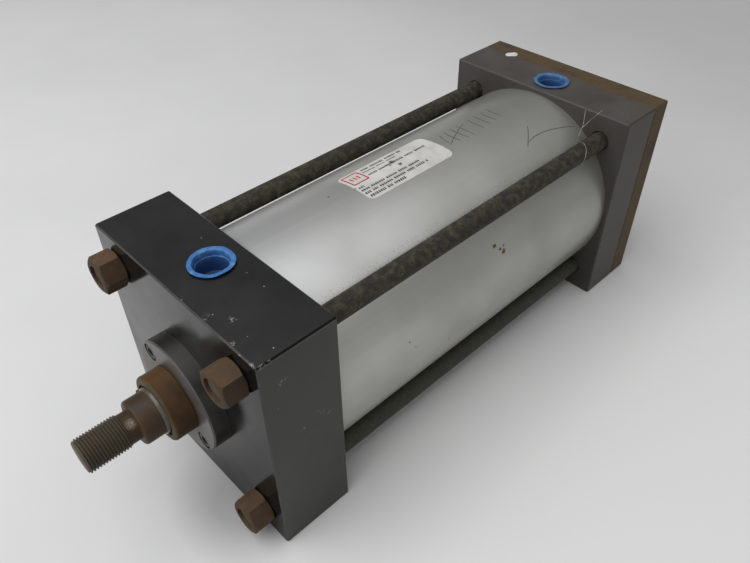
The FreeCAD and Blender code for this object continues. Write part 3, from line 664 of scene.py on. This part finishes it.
def rounded(points):
    """A line through these points, rounded by cutting its corners three times."""
    line = [Vector(p) for p in points]
    for _ in range(3):
        finer = [line[0]]
        for a, b in zip(line, line[1:]):
            finer += [a.lerp(b, 0.25), a.lerp(b, 0.75)]
        line = finer + [line[-1]]
    return line


def lathe_mesh(name, profile, steps, place, wave=None):
    """Sweeps (along, radius) points round an axis; place turns (along, across, over) into a point."""
    shape = bmesh.new()
    rings = []
    for row, (along, radius) in enumerate(profile):
        if radius == 0:
            rings.append([shape.verts.new(place(along, 0, 0))])
            continue
        ring = []
        for step in range(steps):
            angle = 2 * math.pi * step / steps
            shift, grow = wave(row, angle) if wave else (0, 1)
            reach = radius * grow
            ring.append(shape.verts.new(
                place(along + shift, reach * math.cos(angle), reach * math.sin(angle))))
        rings.append(ring)
    for one, two in zip(rings, rings[1:]):
        for step in range(steps):
            after = (step + 1) % steps
            corners = [one[step % len(one)], one[after % len(one)],
                       two[after % len(two)], two[step % len(two)]]
            kept = [c for i, c in enumerate(corners) if c not in corners[:i]]
            if len(kept) > 2:
                shape.faces.new(kept)
    return mesh_from(shape, name)


def new_piece(name, mesh, material, body, smooth_angle=35):
    """Links a mesh as a piece with its finish, smooth but for its sharp edges, riding on a body."""
    piece = placed(name, mesh)
    dress(piece, material)
    mesh.shade_smooth()
    mesh.set_sharp_from_angle(angle=math.radians(smooth_angle))
    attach(piece, body)
    return piece


print("lathe and corner cutter ready")

# %% [markdown]
# ## The piston rod and its cut thread
# The rod's outer end carries a fine inch thread. A thread is a ridge that climbs
# one pitch for each turn, so its radius at any point depends only on the angle plus the
# distance along. A tree of nodes makes it from a flat grid: one side is wrapped round the axis, the
# other runs along it, and each point is moved to the radius that the rule gives.

# %% Plain rod
ROD_LOW, ROD_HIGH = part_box("piston_rod")
ROD_RADIUS = 12.7
TAIL_RADIUS = 9.525
NECK_RADIUS = 8.5
THREAD_DEPTH = 0.95
THREAD_PITCH = 1.5875
THREAD_CHAMFER = 1.2
# Where a groove's flank begins and ends, in parts of a pitch, and how much of the first turn is left
THREAD_FLANK = (0.06, 0.43)
THREAD_LEAD_IN = 0.25
SHOULDER = 368.3
NECK_END = 372.9
THREAD_START = 373.6
TIP = ROD_HIGH[0] / MM
TAIL_END = 79.175
ROD_STEPS = 96


def along_x(along, across, over):
    """A point of a piece that is turned about the rod's axis."""
    return Vector((along, across, over)) * MM


rod_profile = [
    (ROD_LOW[0] / MM, 0), (ROD_LOW[0] / MM, TAIL_RADIUS - 0.8), (ROD_LOW[0] / MM + 0.8, TAIL_RADIUS),
    (TAIL_END, TAIL_RADIUS), (TAIL_END, ROD_RADIUS), (220.0, ROD_RADIUS), (300.0, ROD_RADIUS),
    (SHOULDER - 1.6, ROD_RADIUS), (SHOULDER - 0.9, ROD_RADIUS - 0.2), (SHOULDER - 0.3, ROD_RADIUS - 0.75),
    (SHOULDER, ROD_RADIUS - 1.6), (SHOULDER, NECK_RADIUS + 0.3), (SHOULDER + 0.3, NECK_RADIUS),
    (NECK_END, NECK_RADIUS), (THREAD_START, TAIL_RADIUS - THREAD_DEPTH), (THREAD_START, 0),
]
rod_shaft = new_piece("rod_shaft", lathe_mesh("rod_shaft", rod_profile, ROD_STEPS, along_x),
                      rod_finish, "rod")
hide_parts("piston_rod")
print("rod runs from", round(ROD_LOW[0] / MM, 2), "to", round(TIP, 2), "mm")

# %% Thread tree
def new_tree(name, lengths, counts):
    """An empty tree that takes lengths, counts and a finish. Gives it and its inputs."""
    tree = bpy.data.node_groups.new(name, "GeometryNodeTree")
    taken = [("Geometry", "Geometry"), *((n, "Float") for n in lengths),
             *((n, "Int") for n in counts), ("Finish", "Material")]
    for label, kind in taken:
        tree.interface.new_socket(label, in_out="INPUT", socket_type="NodeSocket" + kind)
    tree.interface.new_socket("Geometry", in_out="OUTPUT", socket_type="NodeSocketGeometry")
    return tree, add(tree, "NodeGroupInput").outputs


def hand_out(tree, shape, finish):
    """Smooths and paints what the tree has grown, and gives it out."""
    smooth = add(tree, "SetShadeSmooth", {0: shape})
    real = add(tree, "RealizeInstances", {0: smooth})
    painted = add(tree, "SetMaterial", {"Geometry": real, "Material": finish})
    add(tree, "NodeGroupOutput", {0: painted})


def thread_tree():
    """A tree that rolls a grid into a threaded bar, turned down in a chamfer at both ends."""
    tree, given = new_tree("cut_thread", ("Start", "Length", "Crest Radius", "Depth", "Pitch", "Chamfer"),
                           ("Around", "Along"))
    grid = add(tree, "MeshGrid", {"Size X": 1.0, "Size Y": 1.0,
                                  "Vertices X": given["Around"], "Vertices Y": given["Along"]})
    place = add(tree, "InputPosition")
    centred = add(tree, "VectorMath", {0: place, 1: (0.5, 0.5, 0)}, operation="ADD")
    share = add(tree, "SeparateXYZ", {0: centred}).outputs
    run = add(tree, "Math", {0: share["Y"], 1: given["Length"]}, operation="MULTIPLY")
    # each turn climbs one pitch, and the phase tells where in its groove a point lies
    turns = add(tree, "Math", {0: run, 1: given["Pitch"]}, operation="DIVIDE")
    climbed = add(tree, "Math", {0: turns, 1: share["X"]}, operation="SUBTRACT")
    phase = add(tree, "Math", {0: climbed}, operation="FRACT")
    signed = add(tree, "Math", {0: phase, 1: 0.5}, operation="SUBTRACT")
    valley = add(tree, "Math", {0: signed}, operation="ABSOLUTE")
    height = add(tree, "MapRange", {"Value": valley, "From Min": THREAD_FLANK[0],
                                     "From Max": THREAD_FLANK[1]})
    crest = given["Crest Radius"]
    root = add(tree, "Math", {0: crest, 1: given["Depth"]}, operation="SUBTRACT")
    cut = add(tree, "Math", {0: height, 1: given["Depth"], 2: root}, operation="MULTIPLY_ADD")
    # both ends are turned down in a chamfer
    to_end = add(tree, "Math", {0: given["Length"], 1: run}, operation="SUBTRACT")
    to_start = add(tree, "Math", {0: run, 1: THREAD_LEAD_IN * MM}, operation="ADD")
    nearest = add(tree, "Math", {0: to_end, 1: to_start}, operation="MINIMUM")
    lowest = add(tree, "Math", {0: crest, 1: given["Chamfer"]}, operation="SUBTRACT")
    turned = add(tree, "Math", {0: lowest, 1: nearest}, operation="ADD")
    radius = add(tree, "Math", {0: cut, 1: turned}, operation="MINIMUM")
    # the grid is wrapped round the axis
    angle = add(tree, "Math", {0: share["X"], 1: 2 * math.pi}, operation="MULTIPLY")
    across = add(tree, "Math", {0: angle}, operation="COSINE")
    over = add(tree, "Math", {0: angle}, operation="SINE")
    ring = add(tree, "CombineXYZ", {"Y": across, "Z": over})
    sized = add(tree, "VectorMath", {0: ring, "Scale": radius}, operation="SCALE")
    along = add(tree, "Math", {0: run, 1: given["Start"]}, operation="ADD")
    shifted = add(tree, "CombineXYZ", {"X": along})
    round_place = add(tree, "VectorMath", {0: sized, 1: shifted}, operation="ADD")
    rolled = add(tree, "SetPosition", {"Geometry": grid, "Position": round_place})
    closed = add(tree, "MergeByDistance", {"Geometry": rolled, "Distance": 0.001 * MM})
    hand_out(tree, closed, given["Finish"])
    return tree


def grown(name, tree, values, base=None):
    """Runs a tree with these inputs and returns the plain mesh it made."""
    start = base or bpy.data.meshes.new(name + "_start")
    holder = placed(name + "_holder", start)
    modifier = holder.modifiers.new("grow", "NODES")
    modifier.node_group = tree
    sockets = {s.name: s.identifier for s in tree.interface.items_tree if s.in_out == "INPUT"}
    for label, value in values.items():
        modifier[sockets[label]] = value
    ready = holder.evaluated_get(bpy.context.evaluated_depsgraph_get())
    mesh = bpy.data.meshes.new_from_object(ready)
    mesh.name = name
    holder.modifiers.remove(modifier)
    bpy.data.objects.remove(holder)
    return mesh


thread_length = TIP - THREAD_START
thread_mesh = grown("rod_thread", thread_tree(), {
    "Start": THREAD_START * MM, "Length": thread_length * MM, "Crest Radius": TAIL_RADIUS * MM,
    "Depth": THREAD_DEPTH * MM, "Pitch": THREAD_PITCH * MM, "Chamfer": THREAD_CHAMFER * MM,
    "Around": 97, "Along": 181, "Finish": rod_finish})
print("thread turns:", round(thread_length / THREAD_PITCH, 1), "faces:", len(thread_mesh.polygons))

# %% Close the thread's end and let it ride
def face_outward(mesh):
    """Turns every face of a closed mesh to the outside."""
    shape = bmesh.new()
    shape.from_mesh(mesh)
    bmesh.ops.remove_doubles(shape, verts=shape.verts, dist=0.0005 * MM)
    bmesh.ops.holes_fill(shape, edges=shape.edges, sides=0)
    bmesh.ops.recalc_face_normals(shape, faces=shape.faces)
    shape.to_mesh(mesh)
    shape.free()


face_outward(thread_mesh)
rod_thread = new_piece("rod_thread", thread_mesh, rod_finish, "rod", 70)
print("thread reaches", round(max(v.co.x for v in rod_thread.data.vertices) / MM, 2), "mm")

# %% [markdown]
# ## The port plugs
# Both oil ports are closed with soft blue plugs: thin cups with a flange that was pressed in by hand
# and has gone wavy. They are turned on the same lathe, with a wave that grows towards the
# flange's edge. Thin coloured polyethylene lets light in, so a little of it scatters under the skin.

# %% Blue polyethylene
def blue_polyethylene():
    """Moulded polyethylene: waxy blue, scuffed pale on the flange, painted shade down the cup, dusty at the
    cap.
    """
    material, tree, shader, where, cloud = clouded(
        "moulded_blue_polyethylene", 2.5, 4.0, [(0.3, "#2a5f9f"), (0.55, "#376faa"), (0.72, "#6690b8")])
    lay_coats(tree, shader, [
        (between(tree, where, "X", 200, 100, 0.3), "#4b535b"),
        # painted shade: the cup is darker further down
        (between(tree, where, "Z", 71, 64), "#22406c"),
    ])
    raised = add(tree, "Bump", {"Height": cloud, "Strength": 0.3, "Distance": 0.1 * MM})
    feed(tree, shader, {"Roughness": 0.5, "IOR": 1.51, "Subsurface Weight": 0.06, "Normal": raised,
                        "Subsurface Radius": (0.2, 0.5, 1.0), "Subsurface Scale": 0.4 * MM})
    return material


plug_finish = blue_polyethylene()
print("plug finish:", plug_finish.name)

# %% Wavy plugs
BLOCK_TOP = 69.85
PLUG_TOP = cad_box[1][2] / MM
FLANGE_RADIUS = 11.85
FLANGE_TOP = 71.15
PLUG_STEPS = 72
# Height, radius and how much of the wave each point of the profile takes
PLUG_PROFILE = [
    (56.85, 0, 0), (56.85, 9.0, 0), (57.5, 9.75, 0), (63.0, 10.05, 0), (69.85, 10.35, 0.1),
    (69.9, 10.7, 0.3), (70.3, 11.0, 0.5), (70.55, 11.5, 0.8), (70.65, FLANGE_RADIUS, 1.0),
    (70.9, FLANGE_RADIUS + 0.1, 1.0), (71.1, FLANGE_RADIUS, 1.0), (FLANGE_TOP, 11.4, 1.0),
    (71.0, 10.6, 0.9), (71.1, 9.9, 0.8), (71.0, 9.6, 0.8),
    (70.6, 9.35, 0.7), (69.0, 9.15, 0.5), (67.6, 9.0, 0.3), (67.4, 8.5, 0.2), (66.8, 8.45, 0.1),
    (60.0, 8.35, 0), (58.6, 8.2, 0), (58.35, 7.6, 0), (58.35, 0, 0),
]
# How many times each part of the wave goes round, and its size
PLUG_WAVES = ((2, 0.55), (3, 0.4), (5, 0.4), (7, 0.3), (11, 0.12))
# How far the wave lifts the flange and widens it, and the swing at which it keeps its width
WAVE_LIFT = 0.2
WAVE_REACH = 0.02
WAVE_MIDDLE = 0.4
# Points that take more of the wave than this are lifted too
LIFTED_FROM = 0.5


def plug_wave(seed):
    """A wave round the flange that differs for each plug."""
    rng = random.Random(seed)
    parts = [(count, rng.uniform(0, 2 * math.pi), size) for count, size in PLUG_WAVES]

    def wave(row, angle):
        share = PLUG_PROFILE[row][2]
        swing = sum(size * math.sin(count * angle + start) for count, start, size in parts)
        lift = min(PLUG_TOP - FLANGE_TOP, WAVE_LIFT * abs(swing)) * share
        return lift if share > LIFTED_FROM else 0, 1 + WAVE_REACH * (swing - WAVE_MIDDLE) * share

    return wave


def make_plug(name, node, body, seed):
    """A plug in the middle of its port, turned about the upright axis through the solid's centre."""
    low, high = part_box(node)
    centre_x = (low[0] + high[0]) / 2 / MM

    def upright(along, across, over):
        return Vector((centre_x + across, over, along)) * MM

    profile = [(height, radius) for height, radius, _ in PLUG_PROFILE]
    piece = new_piece(name, lathe_mesh(name, profile, PLUG_STEPS, upright, plug_wave(seed)),
                      plug_finish, body, 50)
    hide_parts(node)
    return piece


plug_front = make_plug("plug_front_cup", "port_plug_front", "plug_front", 4)
make_plug("plug_rear_cup", "port_plug_rear", "plug_rear", 9)
print("plug flanges reach", round(max(v.co.z for v in plug_front.data.vertices) / MM, 2), "mm")

# %% [markdown]
# ## The paper label
# A label stuck on a tube follows its curve, so it is made in the tube's own terms: how far along, and
# how far round from the top, as a tape measure laid over it would say. A grid of points
# has its corners rounded by pulling in the ends of the outer rows, one end is creased, and the ink
# is a set of plain dashes, a hair above the paper.

# %% Points on the barrel
BARREL_RADIUS = 66.675


def on_barrel(along, arc, lift):
    """The point that lies this far along and round from the top, lifted off the skin, in mm."""
    angle = arc / BARREL_RADIUS
    radius = BARREL_RADIUS + lift
    return Vector((along, radius * math.sin(angle), radius * math.cos(angle))) * MM


def strip_mesh(name, strips, lift):
    """Flat ribbons on the barrel. Each strip is a list of (along, arc, half width)."""
    shape = bmesh.new()
    for strip in strips:
        sides = []
        for i, (along, arc, half) in enumerate(strip):
            before = strip[max(i - 1, 0)]
            after = strip[min(i + 1, len(strip) - 1)]
            heading = Vector((after[0] - before[0], after[1] - before[1])).normalized()
            across = Vector((-heading.y, heading.x)) * half
            sides.append((shape.verts.new(on_barrel(along + across.x, arc + across.y, lift)),
                          shape.verts.new(on_barrel(along - across.x, arc - across.y, lift))))
        for (a, b), (c, d) in zip(sides, sides[1:]):
            shape.faces.new((a, b, d, c))
    for face in shape.faces:
        face.normal_update()
        middle = face.calc_center_median()
        if face.normal.dot(Vector((0, middle.y, middle.z))) < 0:
            face.normal_flip()
    mesh = bpy.data.meshes.new(name)
    shape.to_mesh(mesh)
    shape.free()
    return mesh


print("the skin at the top is at", round(on_barrel(100, 0, 0).z / MM, 3), "mm")

# %% Paper
LABEL_X = (144.2, 212.7)
LABEL_ARC = (-18.8, 11.7)
LABEL_CORNER = 4.0
LABEL_LIFT = 0.14
HEM_LIFT = 0.01
# A tear in the far end: its arc, half its width and how steeply it deepens
TEAR_ARC = -2.0
TEAR_HALF = 1.3
TEAR_SLOPE = 0.9
# Each crease: its arc and where it starts along, its slope, its height and its width
CREASES = [(1.0, 152, -0.06, 0.3, 0.8), (8.0, 146, 0.5, 0.2, 0.7)]
# The creases fade out over the last stretch before this place along
CREASE_END = 164
CREASE_FADE = 10


def label_ends(arc):
    """Where the label begins and ends along the barrel at this distance round."""
    edge = min(arc - LABEL_ARC[0], LABEL_ARC[1] - arc)
    pull = 0.0
    if edge < LABEL_CORNER:
        pull = LABEL_CORNER - math.sqrt(LABEL_CORNER ** 2 - (LABEL_CORNER - edge) ** 2)
    tear = max(0.0, TEAR_HALF - abs(arc - TEAR_ARC)) * TEAR_SLOPE
    return LABEL_X[0] + pull, LABEL_X[1] - pull - tear


def crease(along, arc):
    """How far the paper stands up where it has wrinkled, in mm."""
    near_end = max(0.0, min(1.0, (CREASE_END - along) / CREASE_FADE))
    return near_end * sum(height * math.exp(-((arc - middle - (along - start) * slope) / width) ** 2)
                          for middle, start, slope, height, width in CREASES)


def label_mesh():
    """The paper's skin with a hem that goes down to the barrel all round."""
    rows, columns = 64, 120
    shape = bmesh.new()
    grid = []
    for row in range(rows + 1):
        arc = LABEL_ARC[0] + (LABEL_ARC[1] - LABEL_ARC[0]) * row / rows
        first, last = label_ends(arc)
        line = []
        for column in range(columns + 1):
            along = first + (last - first) * column / columns
            line.append(shape.verts.new(on_barrel(along, arc, LABEL_LIFT + crease(along, arc))))
        grid.append(line)
    for one, two in zip(grid, grid[1:]):
        for column in range(columns):
            shape.faces.new((one[column], one[column + 1], two[column + 1], two[column]))
    rim = grid[0] + [line[-1] for line in grid[1:-1]] + grid[-1][::-1]
    rim += [line[0] for line in grid[-2:0:-1]]
    low = []
    for vertex in rim:
        shrink = (BARREL_RADIUS + HEM_LIFT) * MM / Vector((0, vertex.co.y, vertex.co.z)).length
        low.append(shape.verts.new((vertex.co.x, vertex.co.y * shrink, vertex.co.z * shrink)))
    for i in range(len(rim)):
        shape.faces.new((rim[i], rim[i - 1], low[i - 1], low[i]))
    return mesh_from(shape, "paper_label")


def label_paper():
    """Coated label paper, once white: smooth, with oily thumb marks and one scuffed place."""
    material, tree, shader, where = clouded(
        "coated_label_paper", 11, 4.0, [(0.3, "#b9b8b3"), (0.55, "#c9c8c4"), (0.75, "#d2d2cf")])[:4]
    scuffs = [(178.0, -8.0, 66.2, 2.4), (176.4, -2.5, 66.6, 1.8), (181.0, -6.0, 66.4, 1.2)]
    lay_coats(tree, shader, [(marks(tree, where, scuffs, 2.4, 0.9), "#55504a")])
    feed(tree, shader, {"Roughness": 0.5})
    return material


label = new_piece("paper_label", label_mesh(), label_paper(), "cylinder", smooth_angle=50)
print("label is", round(LABEL_X[1] - LABEL_X[0], 1), "by", round(LABEL_ARC[1] - LABEL_ARC[0], 1), "mm")

# %% Ink
def plain_ink(name, shade, fade):
    """Printing ink on coated paper: matt, a little broken where it has rubbed off."""
    material, tree, shader = clouded(name, 0.8, 2.0, [(0.45, shade), (0.75, fade)])[:3]
    feed(tree, shader, {"Roughness": 0.6})
    return material


# Each line of dashes: its arc, where it starts and ends along the barrel, and half its height
INK_LINES = [(-15.2, 196.0, 163.0, 1.15), (-11.9, 197.5, 171.0, 0.65), (-7.4, 197.0, 150.0, 1.0),
             (-0.6, 211.0, 205.5, 0.8), (2.3, 211.4, 165.5, 1.0), (5.5, 211.4, 161.0, 1.0),
             (8.8, 210.6, 183.5, 1.1)]
# How far apart the dashes stand, and how much further apart their groups
DASH_GAP = 0.45
GROUP_GAP = 1.3


def dashes():
    """Short plain dashes in groups, which stand for typed lines without spelling anything."""
    rng = random.Random(3)
    strips = []
    for arc, start, end, half in INK_LINES:
        along = start
        left_in_group = rng.randint(3, 8)
        while along - 0.9 > end:
            wide = rng.uniform(0.8, 1.2)
            strips.append([(along, arc, half * rng.uniform(0.7, 1.0)),
                           (along - wide, arc, half * rng.uniform(0.7, 1.0))])
            along -= wide + DASH_GAP
            left_in_group -= 1
            if left_in_group == 0:
                along -= GROUP_GAP
                left_in_group = rng.randint(3, 8)
    return strips


INK_LIFT = LABEL_LIFT + 0.03
black_print = new_piece("label_dashes", strip_mesh("label_dashes", dashes(), INK_LIFT),
                        plain_ink("faded_black_ink", "#232224", "#5a5957"), "cylinder")
BOX_ALONG = (199.3, 210.4)
BOX_ARC = (-16.4, -4.8)
RULE_HALF = 0.5
# Three bars inside the box: where the first stands, their spacing, and their ends round the barrel
BAR_ALONG = 202.4
BAR_STEP = 2.6
BAR_ARC = (-12.4, -8.6)
box_corners = [(BOX_ALONG[0], BOX_ARC[0]), (BOX_ALONG[1], BOX_ARC[0]),
               (BOX_ALONG[1], BOX_ARC[1]), (BOX_ALONG[0], BOX_ARC[1]), (BOX_ALONG[0], BOX_ARC[0])]


def box_side(one, two):
    """One ruled line between two corners, in short steps so that it follows the curve."""
    return [(one[0] + (two[0] - one[0]) * t / 8, one[1] + (two[1] - one[1]) * t / 8, RULE_HALF)
            for t in range(9)]


red_rules = [box_side(a, b) for a, b in zip(box_corners, box_corners[1:])]
red_rules += [box_side((BAR_ALONG + BAR_STEP * n, BAR_ARC[0]), (BAR_ALONG + BAR_STEP * n, BAR_ARC[1]))
              for n in range(3)]
new_piece("label_ruled_box", strip_mesh("label_ruled_box", red_rules, INK_LIFT),
          plain_ink("red_ink", "#a82428", "#b84c4c"), "cylinder")
print("dashes of ink:", len(black_print.data.polygons))

# %% [markdown]
# ## Pencil strokes
# Someone in the store marked the barrel with a soft pencil. The tally is plain strokes, and a
# check mark points towards the cap. Graphite on satin metal is a thin grey line that thins out
# at its ends, so each ribbon narrows there.

# %% Pencil strokes on the barrel
STROKE_HALF = 0.36
# How thin a stroke is at its ends, as a share of its middle
END_SHARE = 0.45


def stroke(points):
    """A ribbon through these (along, arc) points, rounded, and thin at both ends."""
    line = rounded(points)
    swell = [math.sin(math.pi * i / (len(line) - 1)) for i in range(len(line))]
    return [(p.x, p.y, STROKE_HALF * (END_SHARE + (1 - END_SHARE) * s)) for p, s in zip(line, swell)]


TALLY = [
    [(135.0, -9.5), (137.5, -4.0), (138.3, 2.0)],
    [(130.0, -10.0), (131.8, -4.0), (131.0, 4.5)],
    [(124.5, -10.5), (125.5, -3.0), (124.2, 5.5)],
    [(118.5, -10.8), (119.5, -3.5), (119.0, 6.0)],
    [(139.0, 3.5), (128.0, -2.5), (113.0, -9.0)],
    [(107.0, -11.0), (109.0, -4.0), (108.5, 4.5)],
    [(100.5, -11.2), (102.5, -4.5), (101.5, 4.0)],
    [(94.0, -11.0), (96.0, -5.0), (95.0, 3.5)],
    [(87.5, -11.5), (89.5, -5.0), (88.5, 3.0)],
]
CHECK_MARK = [
    [(83.1, 19.7), (88.5, 25.0), (92.5, 28.2), (97.0, 32.1)],
    [(93.5, 29.6), (86.0, 28.2), (74.8, 28.9), (61.9, 32.3), (50.6, 36.4)],
]
GRAPHITE_LIFT = 0.03
new_piece("pencil_strokes",
          strip_mesh("pencil_strokes", [stroke(s) for s in TALLY + CHECK_MARK], GRAPHITE_LIFT),
          plain_ink("soft_graphite", "#4d4e4a", "#6d6e68"), "cylinder")
print("pencil strokes:", len(TALLY) + len(CHECK_MARK))

# %% [markdown]
# ## The tag wire
# A thin wire once held a tag: it goes round the near top tie rod, is twisted together above it and
# ends in two loose whiskers. One tree does both kinds of wire. It takes any line, winds a number of
# strands about it at a small distance, and gives each strand a round section.

# %% Wire tree
def wire_tree():
    """A tree that winds strands about a line and gives each a round section."""
    tree, given = new_tree("wound_wire", ("Wire Radius", "Winding Radius", "Turns"), ("Strands",))
    line = add(tree, "MeshToCurve", {0: given["Geometry"]})
    fine = add(tree, "ResampleCurve", {"Curve": line, "Length": 0.4 * MM}, mode="LENGTH")
    copies = add(tree, "DuplicateElements", {"Geometry": fine, "Amount": given["Strands"]},
                 domain="SPLINE")
    share = add(tree, "Math", {0: copies.outputs["Duplicate Index"], 1: given["Strands"]},
                operation="DIVIDE")
    along = add(tree, "SplineParameter").outputs["Factor"]
    wound = add(tree, "Math", {0: along, 1: given["Turns"], 2: share},
                operation="MULTIPLY_ADD")
    angle = add(tree, "Math", {0: wound, 1: 2 * math.pi}, operation="MULTIPLY")
    tangent = add(tree, "InputTangent")
    sideways = add(tree, "VectorMath", {0: tangent, 1: (0.6, 0.8, 0.0)},
                   operation="CROSS_PRODUCT")
    unit = add(tree, "VectorMath", {0: sideways}, operation="NORMALIZE")
    spun = add(tree, "VectorRotate", {"Vector": unit, "Axis": tangent, "Angle": angle})
    shift = add(tree, "VectorMath", {0: spun, "Scale": given["Winding Radius"]},
                operation="SCALE")
    moved = add(tree, "SetPosition", {"Geometry": copies, "Offset": shift})
    section = add(tree, "CurvePrimitiveCircle", {"Resolution": 8, "Radius": given["Wire Radius"]})
    tube = add(tree, "CurveToMesh", {"Curve": moved, "Profile Curve": section, "Fill Caps": True})
    hand_out(tree, tube, given["Finish"])
    return tree


def line_mesh(name, points):
    """Points in mm as a rounded chain of edges."""
    line = rounded(points)
    mesh = bpy.data.meshes.new(name)
    mesh.from_pydata([p * MM for p in line], [(i, i + 1) for i in range(len(line) - 1)], [])
    return mesh


def tinned_wire():
    """Soft tinned steel wire gone dull: grey with paler stretches."""
    return weathered(
        "soft_tinned_wire", 5, [(0.35, "#5d5a54"), (0.65, "#9a968d")],
        0.6, "#57524a", 0.1, (0.3, 0.5), 0.01, 0.6)[0]


print("wire tree ready")

# %% Wire round the tie rod
TIE_AXIS = 52.07
LOOP_RADIUS = 6.25
# The loop starts at this angle and place along the rod, and slants off by so much half way round
LOOP_ANGLE = 138
LOOP_X = 66
LOOP_SLANT = 9.0
LOOP_STEPS = 20
WIRE_RADIUS = 0.18
# How far the two twisted strands keep from their middle line, and how often they go round it
WINDING_RADIUS = 0.38
TWIST_TURNS = 3.0
KNOT = (65.5, 46.6, 57.6)
FORK = (59.0, 44.3, 62.8)
WHISKERS = [
    [FORK, (56.5, 43.4, 64.6), (53.5, 41.4, 67.0), (50.3, 39.4, 70.1)],
    [FORK, (55.5, 45.3, 65.2), (49.5, 46.6, 68.4), (44.3, 48.0, 70.9)],
]


def loop_points():
    """One turn round the tie rod that slants along it, from the knot and back to it."""
    points = [KNOT]
    for step in range(1, LOOP_STEPS):
        turn = math.radians(LOOP_ANGLE - 360 * step / LOOP_STEPS)
        slant = LOOP_X + LOOP_SLANT * math.sin(math.pi * step / LOOP_STEPS) ** 2
        points.append((slant, TIE_AXIS + LOOP_RADIUS * math.cos(turn),
                       TIE_AXIS + LOOP_RADIUS * math.sin(turn)))
    return points + [KNOT]


wire = wire_tree()
wire_finish = tinned_wire()
one_strand = {"Wire Radius": WIRE_RADIUS * MM, "Winding Radius": 0.0, "Turns": 0.0,
              "Strands": 1, "Finish": wire_finish}
two_strands = dict(one_strand, **{"Winding Radius": WINDING_RADIUS * MM, "Turns": TWIST_TURNS,
                                  "Strands": 2})
wire_parts = [
    ("tag_wire_loop", loop_points(), one_strand),
    ("tag_wire_twist", [KNOT, (62.0, 45.2, 60.4), FORK], two_strands),
    ("tag_wire_whisker_left", WHISKERS[0], one_strand),
    ("tag_wire_whisker_right", WHISKERS[1], one_strand),
]
for part_name, points, values in wire_parts:
    part_mesh = grown(part_name, wire, values, line_mesh(part_name + "_line", points))
    new_piece(part_name, part_mesh, wire_finish, "cylinder", smooth_angle=60)
    print(part_name, "faces:", len(part_mesh.polygons))

# %% [markdown]
# ## A splash of paint
# A blob of white paint has dried across the joint of the cap and the rear plate. It is a low pillow
# with a ragged outline: a fan of points round its middle, which stands a little higher.

# %% Paint blob
BLOB = [(18.9, -50.2), (14.6, -51.3), (12.9, -49.4), (9.6, -47.8), (10.2, -45.2), (12.4, -43.4),
        (15.6, -43.2), (17.0, -45.6), (19.3, -47.2)]
# Each ring of the pillow: its size as a share of the outline, and its height
BLOB_RINGS = ((1.0, 0.0), (0.97, 0.1), (0.8, 0.22), (0.5, 0.3))


def blob_mesh():
    """A thin pillow over the outline, highest in the middle."""
    middle = Vector((sum(p[0] for p in BLOB), sum(p[1] for p in BLOB))) / len(BLOB)
    line = [Vector(p) for p in BLOB]
    for _ in range(2):
        line = [q for a, b in zip(line, line[1:] + line[:1]) for q in (a.lerp(b, 0.25), a.lerp(b, 0.75))]
    shape = bmesh.new()
    rings = []
    for share, height in BLOB_RINGS:
        rings.append([shape.verts.new(Vector((*middle.lerp(p, share), BLOCK_TOP + height)) * MM)
                      for p in line])
    for one, two in zip(rings, rings[1:]):
        for i in range(len(line)):
            j = (i + 1) % len(line)
            shape.faces.new((one[i], one[j], two[j], two[i]))
    shape.faces.new(rings[-1])
    shape.faces.new(rings[0])
    return mesh_from(shape, "paint_blob")


def white_paint():
    """Dried oil paint: white gone slightly warm, satin, with a dusty skin."""
    return weathered(
        "dried_white_paint", 3, [(0.3, "#c9c3c4"), (0.7, "#e2dedd")],
        0.8, "#a89f9b", 0.05, (0.4, 0.6), 0.04)[0]


blob = new_piece("paint_blob", blob_mesh(), white_paint(), "cylinder", smooth_angle=60)
print("paint blob faces:", len(blob.data.polygons))
